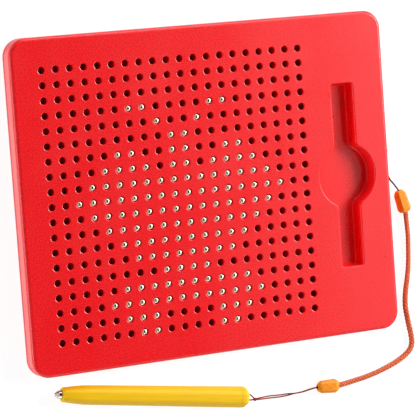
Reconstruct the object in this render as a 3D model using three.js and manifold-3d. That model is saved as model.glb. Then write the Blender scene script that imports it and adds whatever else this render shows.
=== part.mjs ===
// A magnetic drawing board, lying on its back with its tethered pen in front of it.
// Steel balls stand in a moulded case under a face with one hole for each ball. The pen's magnet
// lifts a ball into its hole, where it shows, and a fingertip pushes it down again.
// Millimetres, +X along the board's width, +Y towards its top edge, +Z out of its face.
// The origin is under the middle of the space that the board and the pen take, on the table.
import * as THREE from 'three'
import { mergeGeometries, mergeVertices } from 'three/addons/utils/BufferGeometryUtils.js'
import Module from 'manifold-3d'

// Balls and their holes
const BALL_DIAMETER = 4.5
const BALL_TRAVEL = 4.2
const BALL_CLEARANCE = 0.1
const HOLE_ACROSS = 4.2
const HOLE_PITCH = 8.5
const COLUMNS = 20
const ROWS = 19
const HOLE_SIDES = 6
const CHANNEL_CLEARANCE = 0.2

// Outline of the board, measured from wall to holes, from holes to finger well and on to the wall
const LEFT_MARGIN = 18.55
const TOP_MARGIN = 18.6
const HOLES_TO_WELL = 8.25
const WELL_DIAMETER = 39.2
const WELL_TO_EDGE = 9.5
const BOARD_THICKNESS = 12
const CORNER_RADIUS = 10.5
const FRONT_EDGE_ROUND = 1.8
const BACK_EDGE_ROUND = 2.5

// Walls of the two mouldings and the seam between them
const FACE_THICKNESS = 1.2
const SIDE_WALL = 2.2
const INNER_WALL = 1.6
const BACK_SKIN = 1.5
const SEAM_HEIGHT = 3.4
const LIP_HEIGHT = 5.4
const LIP_THICKNESS = 1.2
const TRAY_THICKNESS = 1
const TRAY_EDGE = 2.25
const PAD_WIDTH = 2
const PAD_COUNT = 4
const FIT_GAP = 0.3

// Pen recess: a straight slot through a round finger well
const SLOT_LENGTH = 110.4
const SLOT_WIDTH = 16.4
const SLOT_CORNER = 2.6
const RECESS_DEPTH = 8
const RECESS_DROP = 0.6
const RECESS_RIM = 0.9
const RECESS_FILLET = 3
const RECESS_DRAFT = 0.3

// Screws that hold the back cover, and their posts
const SCREW_INSET = 8.2
const SCREW_HEAD_DIAMETER = 5
const SCREW_HEAD_HEIGHT = 1.5
const SCREW_SHANK_DIAMETER = 2.4
const SCREW_SUNK = 0.4
const SCREW_BITE = 5.6
const POST_DIAMETER = 7
const POST_HEIGHT = 4

// Pen: a six-sided barrel with a domed tail cap, a magnet and a steel tip
const PEN_LENGTH = 122.2
const PEN_ACROSS_CORNERS = 13.4
const PEN_FRONT_ACROSS = 12
const PEN_CORNER_ROUND = 1.5
const PEN_TIP_LENGTH = 4.8
const PEN_TIP_DIAMETER = 4.9
const PEN_TIP_POINT = 0.9
const PEN_TIP_FLANGE = 2.4
const PEN_TAPER_LENGTH = 14
const PEN_NOSE_ACROSS = 8.9
const PEN_NOSE_ROUND = 0.7
const PEN_NOSE_BORE_LENGTH = 5.5
const PEN_BORE_DIAMETER = 6.5
const PEN_MAGNET_LENGTH = 22
const PEN_CAP_LENGTH = 5.4
const PEN_CAP_END_ACROSS = 6.8
const PEN_CAP_SPIGOT = 6
const PEN_CAP_POCKET_DIAMETER = 4.4
const PEN_CAP_POCKET_DEPTH = 3.6
const PEN_BRIDGE_WIDTH = 1.4
const PEN_BRIDGE_THICKNESS = 1.2
const PEN_BRIDGE_SUNK = 0.8
const PEN_TAIL_RIGHT = 15.6
const PEN_TAIL_IN_FRONT = 28.9
const PEN_TURN_DEGREES = 171.3

// Lanyard: thin string, orange clip, braided strap, orange clip, two thin strands to the pen
const STRING_DIAMETER = 0.9
const STRAND_DIAMETER = 0.7
const STRAP_DIAMETER = 3
const LANYARD_HOLE_UP = 12
const LANYARD_HOLE_HEIGHT = 7.5
const LANYARD_HOLE_DIAMETER = 2.2
const STOP_KNOT_DIAMETER = 3
const PEN_KNOT_DIAMETER = 2.2
const PEN_KNOT_BEHIND = 5.4
const PEN_KNOT_ASIDE = 1.2
const CLIP_LENGTH = 13.7
const CLIP_WIDTH = 8.1
const CLIP_HEIGHT = 6.2
const CLIP_CHAMFER = 1.7
const CLIP_STRAP_DEPTH = 6
const BOARD_CLIP_PLACE = [128.85, -14.2]
const BOARD_CLIP_TURN_DEGREES = -74.1
const PEN_CLIP_PLACE = [64.3, -125.4]
const PEN_CLIP_TURN_DEGREES = -2.8

// Facets, and how far a cutting tool runs past what it cuts
const CORNER_STEPS = 4
const EDGE_STEPS = 2
const WELL_SIDES = 24
const ROUND_SIDES = 12
const SMALL_SIDES = 8
const OVERRUN = 1
const WELD = 1e-4

// Sizes that follow from the ones above
const ballRadius = BALL_DIAMETER / 2
const fieldWidth = (COLUMNS - 1) * HOLE_PITCH
const fieldHeight = (ROWS - 1) * HOLE_PITCH
const boardWidth = LEFT_MARGIN + fieldWidth + HOLES_TO_WELL + WELL_DIAMETER + WELL_TO_EDGE
const boardHeight = TOP_MARGIN + fieldHeight + TOP_MARGIN
const boardRight = boardWidth / 2
const boardTop = boardHeight / 2
const fieldCentreX = LEFT_MARGIN + fieldWidth / 2 - boardRight
const recessX = boardRight - WELL_TO_EDGE - WELL_DIAMETER / 2
const recessFloor = BOARD_THICKNESS - RECESS_DEPTH
const faceUnderside = BOARD_THICKNESS - FACE_THICKNESS
const shellFoot = SEAM_HEIGHT + FIT_GAP
const halfHole = HOLE_ACROSS / 2
const ballTouch = Math.sqrt(ballRadius * ballRadius - halfHole * halfHole)
const raisedHeight = faceUnderside - ballTouch - BALL_CLEARANCE
const loweredHeight = raisedHeight - BALL_TRAVEL
const trayTop = loweredHeight - ballRadius - BALL_CLEARANCE
const trayBottom = trayTop - TRAY_THICKNESS
const columnBarFoot = loweredHeight - BALL_CLEARANCE
const rowBarTop = columnBarFoot - FIT_GAP
const channelWidth = BALL_DIAMETER + 2 * CHANNEL_CLEARANCE
const barWidth = HOLE_PITCH - channelWidth
const trayWidth = fieldWidth + channelWidth + 2 * TRAY_EDGE
const trayHeight = fieldHeight + channelWidth + 2 * TRAY_EDGE
const screwBore = SCREW_SHANK_DIAMETER + 2 * FIT_GAP
const headRecess = SCREW_HEAD_DIAMETER + 2 * FIT_GAP
const headTop = SCREW_SUNK + SCREW_HEAD_HEIGHT
const penAcrossFlats = PEN_ACROSS_CORNERS * Math.cos(Math.PI / 6)
const barrelStart = PEN_CAP_LENGTH + FIT_GAP
const barrelEnd = PEN_LENGTH - PEN_TIP_LENGTH
const taperStart = barrelEnd - PEN_TAPER_LENGTH
const penDrawIn = (PEN_ACROSS_CORNERS - PEN_FRONT_ACROSS) / 2 * Math.cos(Math.PI / 6)
const penDraft = penDrawIn / (taperStart - barrelStart)
const innerDiameter = PEN_BORE_DIAMETER - 2 * FIT_GAP
const noseBoreStart = barrelEnd - PEN_NOSE_BORE_LENGTH
const noseBoreDiameter = PEN_TIP_DIAMETER + 2 * FIT_GAP

// Balls that stand raised, by row from the top: runs of columns counted from the middle outwards.
// Together they draw a butterfly.
const RAISED_RUNS = {
  4: [[3, 4]],
  5: [[2, 2]],
  6: [[1, 1]],
  7: [[1, 1], [4, 5]],
  8: [[1, 1], [3, 6]],
  9: [[1, 7]],
  10: [[1, 8]],
  11: [[1, 7]],
  12: [[1, 6]],
  13: [[1, 5]],
  14: [[1, 4]],
  15: [[1, 2]],
  16: [[1, 5]],
  17: [[1, 6]],
  18: [[3, 5]],
  19: [[3, 4]],
}
const MIDDLE_ROW = Math.ceil(ROWS / 2)

// Cord routes, chosen by hand, from the middle of the board's back
const BOARD_STRING_ROUTE = [
  [119.9, 11.7, 7],
  [121.3, 10.2, 4.9],
  [122.2, 7, 2.3],
  [122.6, 2.6, 0.8],
  [123, -2.4, 0.6],
  [124.4, -6.8, 0.8],
  [126.4, -9.4, 0.9],
  [127.8, -11.8, 1.8],
  [128.85, -14.2, 2.95],
  [129.35, -16, 3.1],
]
const STRAP_ROUTE = [
  [131.2, -22.4, 3.1],
  [132.75, -27.9, 3],
  [133.3, -30.7, 2.3],
  [134, -36.1, 1.6],
  [134.25, -41.6, 1.6],
  [134.05, -47.1, 1.6],
  [133.75, -52.6, 1.6],
  [133.35, -58, 1.6],
  [132.65, -63.4, 1.6],
  [131.6, -68.8, 1.6],
  [130.35, -74.2, 1.6],
  [129.5, -79.6, 1.6],
  [129.25, -85, 1.6],
  [129.9, -90.6, 1.6],
  [130.75, -96.2, 1.6],
  [131.8, -101.9, 1.6],
  [132.1, -107.3, 1.6],
  [130.7, -111, 1.6],
  [127.3, -114, 1.6],
  [121.4, -117.2, 1.6],
  [115.6, -119.4, 1.6],
  [107, -122, 1.6],
  [98.5, -123.9, 1.6],
  [90.1, -125.1, 1.7],
  [84.2, -125.8, 2.2],
  [78.6, -126.1, 3],
  [72.9, -125.8, 3.1],
]
const PEN_STRAND_ROUTES = [
  [
    [65.8, -125.48, 3.6],
    [63.9, -125.3, 3.55],
    [59, -126, 2.85],
    [55, -126.8, 2.15],
    [50, -127.05, 1.65],
    [45.2, -126.8, 1],
    [39.6, -126.7, 1],
    [32.4, -126.2, 1.7],
    [26, -125.95, 4.1],
    [22.1, -125.8, 5.7],
  ],
  [
    [65.8, -125.48, 2.6],
    [63.9, -125.4, 2.45],
    [59, -126.1, 1.75],
    [55, -126.95, 1.05],
    [50, -127.3, 0.55],
    [45.3, -127.8, 0.5],
    [39.6, -127.95, 0.5],
    [32.5, -127.5, 1.2],
    [26.1, -127, 3.3],
    [22.1, -126.5, 5],
  ],
]
const BOARD_STRING_STEPS = 18
const STRAP_STEPS = 32
const PEN_STRAND_STEPS = 16
const PEN_LOOP_STEPS = 12

const wasm = await Module()
wasm.setup()

function plastic(color, roughness) {
  return new THREE.MeshStandardMaterial({ color, roughness, metalness: 0 })
}

const FINISH = {
  redPlastic: plastic(0xf0323a, 0.45),
  yellowPlastic: plastic(0xf2b716, 0.35),
  orangePlastic: plastic(0xff8c1e, 0.4),
  orangeBraid: plastic(0xe0683a, 0.9),
  brownString: plastic(0x7a3020, 0.9),
  steel: new THREE.MeshStandardMaterial({ color: 0xcfcbc2, roughness: 0.2, metalness: 1 }),
  magnet: new THREE.MeshStandardMaterial({ color: 0x55565a, roughness: 0.4, metalness: 1 }),
}

// A closed geometry becomes a solid that can be joined and cut
function solid(geometry) {
  const bare = geometry.clone()
  bare.deleteAttribute('normal')
  bare.deleteAttribute('uv')
  const merged = mergeVertices(bare, WELD)
  return new wasm.Manifold(new wasm.Mesh({
    numProp: 3,
    vertProperties: new Float32Array(merged.attributes.position.array),
    triVerts: new Uint32Array(merged.index.array),
  }))
}

function geometryOf(manifold) {
  const mesh = manifold.getMesh()
  const geometry = new THREE.BufferGeometry()
  geometry.setAttribute('position', new THREE.BufferAttribute(mesh.vertProperties, 3))
  geometry.setIndex(new THREE.BufferAttribute(mesh.triVerts, 1))
  geometry.computeVertexNormals()
  return geometry
}

function piece(name, geometry, material) {
  const mesh = new THREE.Mesh(geometry, material)
  mesh.name = name
  return mesh
}

// A solid through a row of convex outlines, all with the same number of points
function loft(rings) {
  const count = rings[0].length
  const last = (rings.length - 1) * count
  const faces = []
  for (let start = 0; start < last; start += count) {
    for (let i = 0; i < count; i++) {
      const a = start + i
      const b = start + (i + 1) % count
      faces.push(a, b, b + count, a, b + count, a + count)
    }
  }
  for (let i = 1; i < count - 1; i++) {
    faces.push(0, i + 1, i, last, last + i, last + i + 1)
  }
  const geometry = new THREE.BufferGeometry().setFromPoints(rings.flat())
  geometry.setIndex(faces)
  return geometry
}

// A rectangle with round corners, drawn in from every side by inset
function roundedRectangle(width, height, radius, inset, z) {
  const corner = Math.max(radius - inset, radius * 0.1)
  const across = width / 2 - inset - corner
  const up = height / 2 - inset - corner
  const points = []
  for (const [quarter, sx, sy] of [[0, 1, 1], [1, -1, 1], [2, -1, -1], [3, 1, -1]]) {
    for (let i = 0; i <= CORNER_STEPS; i++) {
      const angle = (quarter + i / CORNER_STEPS) * Math.PI / 2
      const x = sx * across + corner * Math.cos(angle)
      const y = sy * up + corner * Math.sin(angle)
      points.push(new THREE.Vector3(x, y, z))
    }
  }
  return points
}

function boardOutline(inset, z) {
  return roundedRectangle(boardWidth, boardHeight, CORNER_RADIUS, inset, z)
}

// Insets and heights of a quarter round, from the side wall to the flat
function quarterRound(radius, steps) {
  const places = []
  for (let i = 0; i <= steps; i++) {
    const angle = i / steps * Math.PI / 2
    places.push([radius * (1 - Math.cos(angle)), radius * Math.sin(angle)])
  }
  return places
}

function block(left, right, front, back, bottom, top) {
  const geometry = new THREE.BoxGeometry(right - left, back - front, top - bottom)
  return geometry.translate((left + right) / 2, (front + back) / 2, (bottom + top) / 2)
}

function upright(diameter, sides, bottom, top) {
  const geometry = new THREE.CylinderGeometry(diameter / 2, diameter / 2, top - bottom, sides)
  return geometry.rotateX(Math.PI / 2).translate(0, 0, (bottom + top) / 2)
}

// The same, lying along +X
function lying(diameter, sides, start, end) {
  const geometry = new THREE.CylinderGeometry(diameter / 2, diameter / 2, end - start, sides)
  return geometry.rotateZ(-Math.PI / 2).translate((start + end) / 2, 0, 0)
}

function turned(profile, sides) {
  const points = profile.map(([radius, height]) => new THREE.Vector2(radius, height))
  return new THREE.LatheGeometry(points, sides).rotateX(Math.PI / 2)
}

function columnX(column) {
  return fieldCentreX - fieldWidth / 2 + (column - 1) * HOLE_PITCH
}

function rowY(row) {
  return fieldHeight / 2 - (row - 1) * HOLE_PITCH
}

function screwPlaces() {
  const x = boardRight - SCREW_INSET
  const y = boardTop - SCREW_INSET
  return [[-x, y], [0, y], [x, y], [-x, -y], [0, -y], [x, -y]]
}

function holeTools() {
  const corners = HOLE_ACROSS / Math.cos(Math.PI / HOLE_SIDES)
  const bottom = faceUnderside - OVERRUN
  const top = BOARD_THICKNESS + OVERRUN
  const tools = []
  for (let row = 1; row <= ROWS; row++) {
    for (let column = 1; column <= COLUMNS; column++) {
      tools.push(upright(corners, HOLE_SIDES, bottom, top).translate(columnX(column), rowY(row), 0))
    }
  }
  return solid(mergeGeometries(tools))
}

// Bars under the face, between the columns of holes: they keep each ball in its column
function columnBars() {
  const reach = trayHeight / 2 + FIT_GAP + INNER_WALL / 2
  const bars = []
  for (let column = 1; column < COLUMNS; column++) {
    const x = columnX(column) + HOLE_PITCH / 2
    bars.push(block(x - barWidth / 2, x + barWidth / 2, -reach, reach, columnBarFoot, faceUnderside))
  }
  return bars
}

// A wall round the field of balls, in which the tray sits
function traySkirt() {
  const x = trayWidth / 2 + FIT_GAP
  const y = trayHeight / 2 + FIT_GAP
  const bottom = BACK_SKIN + FIT_GAP
  const left = fieldCentreX - x
  const right = fieldCentreX + x
  const outside = block(left - INNER_WALL, right + INNER_WALL, -y - INNER_WALL, y + INNER_WALL, bottom,
    faceUnderside + FACE_THICKNESS / 2)
  const inside = block(left, right, -y, y, bottom - OVERRUN, faceUnderside)
  return solid(outside).subtract(solid(inside))
}

// The recess as a solid: its rim flares, its walls lean and its floor has a round edge all round
function recessLevels() {
  const levels = []
  const low = quarterRound(RECESS_FILLET, EDGE_STEPS + 1)
  for (const [inset, rise] of low.reverse()) {
    const height = recessFloor + RECESS_FILLET - rise
    levels.push([RECESS_RIM + RECESS_DRAFT + inset, height])
  }
  levels.push([RECESS_RIM, BOARD_THICKNESS - RECESS_RIM])
  levels.push([0, BOARD_THICKNESS])
  levels.push([0, BOARD_THICKNESS + OVERRUN])
  return levels
}

function recessTool() {
  const slot = loft(recessLevels().map(([inset, z]) =>
    roundedRectangle(SLOT_WIDTH, SLOT_LENGTH, SLOT_CORNER, inset, z)))
  const profile = recessLevels().map(([inset, z]) => [WELL_DIAMETER / 2 - inset, z])
  const well = turned([[0, recessFloor], ...profile, [0, BOARD_THICKNESS + OVERRUN]], WELL_SIDES)
  return solid(slot).add(solid(well)).translate([recessX, -RECESS_DROP, 0])
}

function recessTub() {
  const bottom = recessFloor - FACE_THICKNESS
  const top = BOARD_THICKNESS - FACE_THICKNESS / 2
  const slot = loft([bottom, top].map((z) =>
    roundedRectangle(SLOT_WIDTH, SLOT_LENGTH, SLOT_CORNER, RECESS_RIM - INNER_WALL, z)))
  const well = upright(WELL_DIAMETER + 2 * (INNER_WALL - RECESS_RIM), WELL_SIDES, bottom, top)
  return solid(slot).add(solid(well)).translate([recessX, -RECESS_DROP, 0])
}

function frontShell() {
  const edge = quarterRound(FRONT_EDGE_ROUND, EDGE_STEPS)
  const start = BOARD_THICKNESS - FRONT_EDGE_ROUND
  const outside = [boardOutline(0, shellFoot)]
  for (const [inset, rise] of edge) {
    outside.push(boardOutline(inset, start + rise))
  }
  const cavity = [shellFoot - OVERRUN, faceUnderside].map((z) => boardOutline(SIDE_WALL, z))
  let shell = solid(loft(outside)).subtract(solid(loft(cavity)))
  shell = shell.add(traySkirt()).add(recessTub())
  for (const bar of columnBars()) {
    shell = shell.add(solid(bar))
  }
  for (const [x, y] of screwPlaces()) {
    const bottom = POST_HEIGHT + FIT_GAP
    const post = upright(POST_DIAMETER, SMALL_SIDES, bottom, faceUnderside + FACE_THICKNESS / 2)
    const pilot = upright(screwBore, SMALL_SIDES, bottom - OVERRUN, bottom + SCREW_BITE + FIT_GAP)
    shell = shell.add(solid(post.translate(x, y, 0))).subtract(solid(pilot.translate(x, y, 0)))
  }
  const lanyardHole = lying(LANYARD_HOLE_DIAMETER, SMALL_SIDES, -SIDE_WALL - OVERRUN, OVERRUN)
  lanyardHole.translate(boardRight, LANYARD_HOLE_UP, LANYARD_HOLE_HEIGHT)
  shell = shell.subtract(recessTool()).subtract(holeTools()).subtract(solid(lanyardHole))
  return piece('front_shell', geometryOf(shell), FINISH.redPlastic)
}

// Ribs across the back cover that carry the tray
function trayPads() {
  const pads = []
  const reach = trayHeight / 2 - TRAY_EDGE
  for (let i = 0; i < PAD_COUNT; i++) {
    const x = fieldCentreX + ((i + 0.5) / PAD_COUNT - 0.5) * trayWidth
    pads.push(block(x - PAD_WIDTH / 2, x + PAD_WIDTH / 2, -reach, reach, BACK_SKIN / 2,
      trayBottom - FIT_GAP))
  }
  return pads
}

function backCover() {
  const outside = []
  for (const [inset, rise] of quarterRound(BACK_EDGE_ROUND, EDGE_STEPS).reverse()) {
    outside.push(boardOutline(inset, BACK_EDGE_ROUND - rise))
  }
  outside.push(boardOutline(0, SEAM_HEIGHT))
  const hollow = [BACK_SKIN, SEAM_HEIGHT + OVERRUN].map((z) => boardOutline(SIDE_WALL, z))
  const lipInset = SIDE_WALL + FIT_GAP
  const lip = [BACK_SKIN / 2, LIP_HEIGHT].map((z) => boardOutline(lipInset, z))
  const inLip = [BACK_SKIN, LIP_HEIGHT + OVERRUN].map((z) => boardOutline(lipInset + LIP_THICKNESS, z))
  let cover = solid(loft(outside)).subtract(solid(loft(hollow)))
  cover = cover.add(solid(loft(lip)).subtract(solid(loft(inLip))))
  for (const pad of trayPads()) {
    cover = cover.add(solid(pad))
  }
  for (const [x, y] of screwPlaces()) {
    const post = upright(POST_DIAMETER, SMALL_SIDES, BACK_SKIN / 2, POST_HEIGHT)
    const seat = upright(headRecess, SMALL_SIDES, -OVERRUN, headTop + FIT_GAP)
    const bore = upright(screwBore, SMALL_SIDES, 0, POST_HEIGHT + OVERRUN)
    cover = cover.add(solid(post.translate(x, y, 0)))
    cover = cover.subtract(solid(seat.translate(x, y, 0))).subtract(solid(bore.translate(x, y, 0)))
  }
  return piece('back_cover', geometryOf(cover), FINISH.redPlastic)
}

// The tray is the floor that lowered balls rest on. Its bars run between the rows of holes,
// across the bars of the face, so that every ball has a cell of its own.
function ballTray() {
  const x = trayWidth / 2
  const y = trayHeight / 2
  let tray = solid(block(-x, x, -y, y, trayBottom, trayTop))
  for (let row = 0; row <= ROWS; row++) {
    const centre = rowY(row) - HOLE_PITCH / 2
    const front = Math.max(centre - barWidth / 2, -y)
    const back = Math.min(centre + barWidth / 2, y)
    tray = tray.add(solid(block(-x, x, front, back, trayTop - TRAY_THICKNESS / 2, rowBarTop)))
  }
  const mesh = piece('ball_tray', geometryOf(tray), FINISH.redPlastic)
  mesh.position.x = fieldCentreX
  return mesh
}

function coverScrew(number, x, y) {
  const head = SCREW_HEAD_DIAMETER / 2
  const shank = SCREW_SHANK_DIAMETER / 2
  const top = POST_HEIGHT + FIT_GAP + SCREW_BITE
  const profile = [[0, SCREW_SUNK], [head, SCREW_SUNK], [head, headTop], [shank, headTop], [shank, top],
    [0, top]]
  const mesh = piece(`cover_screw_${number}`, turned(profile, SMALL_SIDES), FINISH.steel)
  mesh.position.set(x, y, 0)
  return mesh
}

function isRaised(row, column) {
  const fromMiddle = column > COLUMNS / 2 ? column - COLUMNS / 2 : COLUMNS / 2 + 1 - column
  const runs = RAISED_RUNS[row] ?? []
  return runs.some(([first, last]) => fromMiddle >= first && fromMiddle <= last)
}

function ball(row, column) {
  const name = `ball_r${String(row).padStart(2, '0')}_c${String(column).padStart(2, '0')}`
  const geometry = new THREE.SphereGeometry(ballRadius, SMALL_SIDES, SMALL_SIDES / 2)
  const mesh = piece(name, geometry.rotateX(Math.PI / 2), FINISH.steel)
  const height = isRaised(row, column) ? raisedHeight : loweredHeight
  mesh.position.set(columnX(column), rowY(row), height)
  return mesh
}

// The balls of the middle row: raised ones across the butterfly, and lowered ones beside it
function balls() {
  const group = new THREE.Group()
  for (let column = 1; column <= COLUMNS; column++) {
    group.add(ball(MIDDLE_ROW, column))
  }
  return group
}

// A six-sided outline with round corners, a flat side down, square to the pen's length
function penSection(acrossCorners, x) {
  const flat = acrossCorners / 2 * Math.cos(Math.PI / 6)
  const round = Math.min(PEN_CORNER_ROUND, flat / 2)
  const reach = (flat - round) / Math.cos(Math.PI / 6)
  const points = []
  for (let corner = 0; corner < 6; corner++) {
    const middle = corner * Math.PI / 3
    for (const turn of [-1, 0, 1]) {
      const angle = middle + turn * Math.PI / 6
      const y = reach * Math.cos(middle) + round * Math.cos(angle)
      const z = reach * Math.sin(middle) + round * Math.sin(angle)
      points.push(new THREE.Vector3(x, y, z))
    }
  }
  return points
}

function penBarrel() {
  const sections = [[PEN_ACROSS_CORNERS, barrelStart], [PEN_FRONT_ACROSS, taperStart]]
  const narrowing = PEN_FRONT_ACROSS - PEN_NOSE_ACROSS
  const shoulderShares = [[0.18, 0.25], [0.52, 0.62]]
  for (const [narrowShare, lengthShare] of shoulderShares) {
    sections.push([PEN_FRONT_ACROSS - narrowShare * narrowing,
      taperStart + lengthShare * PEN_TAPER_LENGTH])
  }
  sections.push([PEN_NOSE_ACROSS + PEN_NOSE_ROUND, barrelEnd - PEN_NOSE_ROUND])
  sections.push([PEN_NOSE_ACROSS - PEN_NOSE_ROUND, barrelEnd])
  const body = solid(loft(sections.map(([across, x]) => penSection(across, x))))
  const bore = solid(lying(PEN_BORE_DIAMETER, ROUND_SIDES, barrelStart - OVERRUN, noseBoreStart))
  const mouth = solid(lying(noseBoreDiameter, ROUND_SIDES, noseBoreStart - OVERRUN, barrelEnd + OVERRUN))
  return piece('pen_barrel', geometryOf(body.subtract(bore.add(mouth))), FINISH.yellowPlastic)
}

// The domed cap in the barrel's tail, with a bridge across its pocket for the string's loop
function penTailCap() {
  const growth = PEN_ACROSS_CORNERS - PEN_CAP_END_ACROSS
  const domeShares = [[0, 0], [0.5, 0.11], [0.86, 0.34], [1, 0.63], [1, 1]]
  const dome = domeShares.map(([growShare, lengthShare]) =>
    penSection(PEN_CAP_END_ACROSS + growShare * growth, lengthShare * PEN_CAP_LENGTH))
  const spigot = lying(innerDiameter, ROUND_SIDES, PEN_CAP_LENGTH / 2, PEN_CAP_LENGTH + PEN_CAP_SPIGOT)
  const pocket = lying(PEN_CAP_POCKET_DIAMETER, ROUND_SIDES, -OVERRUN, PEN_CAP_POCKET_DEPTH)
  const half = PEN_BRIDGE_WIDTH / 2
  const long = PEN_CAP_POCKET_DIAMETER / 2 + FIT_GAP
  const bridge = block(PEN_BRIDGE_SUNK, PEN_BRIDGE_SUNK + PEN_BRIDGE_THICKNESS, -half, half, -long, long)
  const cap = solid(loft(dome)).add(solid(spigot)).subtract(solid(pocket)).add(solid(bridge))
  return piece('pen_tail_cap', geometryOf(cap), FINISH.yellowPlastic)
}

function penTip() {
  const flange = innerDiameter / 2
  const neck = PEN_TIP_DIAMETER / 2
  const start = noseBoreStart - FIT_GAP
  const profile = [
    [0, start - PEN_TIP_FLANGE],
    [flange, start - PEN_TIP_FLANGE],
    [flange, start],
    [neck, start],
    [neck, barrelEnd + PEN_TIP_POINT / 2],
    [PEN_TIP_POINT, PEN_LENGTH - PEN_TIP_POINT / 2],
    [PEN_TIP_POINT / 2, PEN_LENGTH],
    [0, PEN_LENGTH],
  ]
  const geometry = turned(profile, ROUND_SIDES).rotateY(Math.PI / 2)
  return piece('pen_tip', geometry, FINISH.steel)
}

function penMagnet() {
  const end = noseBoreStart - PEN_TIP_FLANGE - 2 * FIT_GAP
  const geometry = lying(innerDiameter, ROUND_SIDES, end - PEN_MAGNET_LENGTH, end)
  return piece('pen_magnet', geometry, FINISH.magnet)
}

// A cord: a round section swept along a smooth line through the points of its route
function cord(name, points, diameter, steps, material) {
  const section = new THREE.Shape()
  for (let i = 0; i < SMALL_SIDES; i++) {
    const angle = i / SMALL_SIDES * 2 * Math.PI
    const place = [diameter / 2 * Math.cos(angle), diameter / 2 * Math.sin(angle)]
    if (i === 0) {
      section.moveTo(...place)
    } else {
      section.lineTo(...place)
    }
  }
  const extrudePath = new THREE.CatmullRomCurve3(points.map((point) => new THREE.Vector3(...point)))
  return piece(name, new THREE.ExtrudeGeometry(section, { steps, extrudePath }), material)
}

function knot(name, diameter) {
  const geometry = new THREE.SphereGeometry(diameter / 2, SMALL_SIDES, SMALL_SIDES / 2)
  return piece(name, geometry, FINISH.brownString)
}

// The loop of string through the tail cap, behind its bridge, back to the knot
function penLoop() {
  const half = STRAND_DIAMETER / 2
  const behind = PEN_BRIDGE_SUNK + PEN_BRIDGE_THICKNESS + FIT_GAP + half
  const beside = PEN_BRIDGE_WIDTH / 2 + FIT_GAP + half
  const start = -PEN_KNOT_BEHIND + PEN_KNOT_DIAMETER / 2 + FIT_GAP + half
  const lean = PEN_KNOT_ASIDE * -start / PEN_KNOT_BEHIND
  const side = [[0, beside * 0.95], [behind * 0.6, beside], [behind * 0.93, beside * 0.8]]
  const there = side.map(([x, y]) => [x, -y, 0])
  const back = side.map(([x, y]) => [x, y, 0]).reverse()
  const route = [[start, lean - beside / 2, 0], ...there, [behind + half / 2, 0, 0], ...back,
    [start, lean + beside / 2, 0]]
  return cord('pen_loop', route, STRAND_DIAMETER, PEN_LOOP_STEPS, FINISH.brownString)
}

// The pen lies on one of its flats. The barrel draws in towards the tip, so its axis leans down a little.
function pen() {
  const group = new THREE.Group()
  group.add(penBarrel(), penTailCap(), penTip(), penMagnet(), penLoop())
  const pivot = knot('pen_knot', PEN_KNOT_DIAMETER)
  pivot.position.set(-PEN_KNOT_BEHIND, PEN_KNOT_ASIDE, 0)
  group.add(pivot)
  const height = penAcrossFlats / 2 + penDraft * barrelStart
  group.position.set(PEN_TAIL_RIGHT, -boardTop - PEN_TAIL_IN_FRONT, height)
  group.rotation.set(0, Math.atan(penDraft), THREE.MathUtils.degToRad(PEN_TURN_DEGREES), 'ZYX')
  return group
}

// An eight-sided outline: a rectangle with cut corners, square to the clip's length
function clipSection(share, x) {
  const y = CLIP_WIDTH / 2 * share
  const z = CLIP_HEIGHT / 2 * share
  const cut = CLIP_CHAMFER * share
  const places = [[y, z - cut], [y - cut, z], [cut - y, z], [-y, z - cut],
    [-y, cut - z], [cut - y, -z], [y - cut, -z], [y, cut - z]]
  return places.map(([across, up]) => new THREE.Vector3(x, across, up))
}

// A moulded clip on the lanyard: string goes in at its narrow end, strap at the other
function lanyardClip(name, stringBore, place, turn) {
  const sizeShares = [[0.45, 0], [0.7, 0.07], [0.9, 0.2], [1, 0.86], [0.74, 1]]
  const body = loft(sizeShares.map(([share, lengthShare]) => clipSection(share, lengthShare * CLIP_LENGTH)))
  const strapEnd = CLIP_LENGTH - CLIP_STRAP_DEPTH
  const stringHole = lying(stringBore, SMALL_SIDES, -OVERRUN, strapEnd + OVERRUN)
  const strapHole = lying(STRAP_DIAMETER + 2 * FIT_GAP, SMALL_SIDES, strapEnd, CLIP_LENGTH + OVERRUN)
  const geometry = geometryOf(solid(body).subtract(solid(stringHole).add(solid(strapHole))))
  const mesh = piece(name, geometry, FINISH.orangePlastic)
  mesh.position.set(...place, CLIP_HEIGHT / 2)
  mesh.rotation.z = THREE.MathUtils.degToRad(turn)
  return mesh
}

function lanyard() {
  const group = new THREE.Group()
  const stop = knot('lanyard_stop_knot', STOP_KNOT_DIAMETER)
  const stopX = boardRight - SIDE_WALL - FIT_GAP - STOP_KNOT_DIAMETER / 2
  stop.position.set(stopX, LANYARD_HOLE_UP, LANYARD_HOLE_HEIGHT)
  const stringStart = stopX + STOP_KNOT_DIAMETER / 2 + FIT_GAP
  const throughWall = [stringStart, boardRight].map((x) => [x, LANYARD_HOLE_UP, LANYARD_HOLE_HEIGHT])
  const string = cord('board_string', [...throughWall, ...BOARD_STRING_ROUTE], STRING_DIAMETER,
    BOARD_STRING_STEPS, FINISH.brownString)
  const strap = cord('lanyard_strap', STRAP_ROUTE, STRAP_DIAMETER, STRAP_STEPS, FINISH.orangeBraid)
  const stringBore = STRING_DIAMETER + 2 * FIT_GAP
  const strandBore = 2 * (STRAND_DIAMETER + FIT_GAP)
  group.add(stop, string, strap)
  group.add(lanyardClip('board_clip', stringBore, BOARD_CLIP_PLACE, BOARD_CLIP_TURN_DEGREES))
  group.add(lanyardClip('pen_clip', strandBore, PEN_CLIP_PLACE, PEN_CLIP_TURN_DEGREES))
  PEN_STRAND_ROUTES.forEach((route, index) => {
    group.add(cord(`pen_strand_${index + 1}`, route, STRAND_DIAMETER, PEN_STRAND_STEPS,
      FINISH.brownString))
  })
  return group
}

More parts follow.
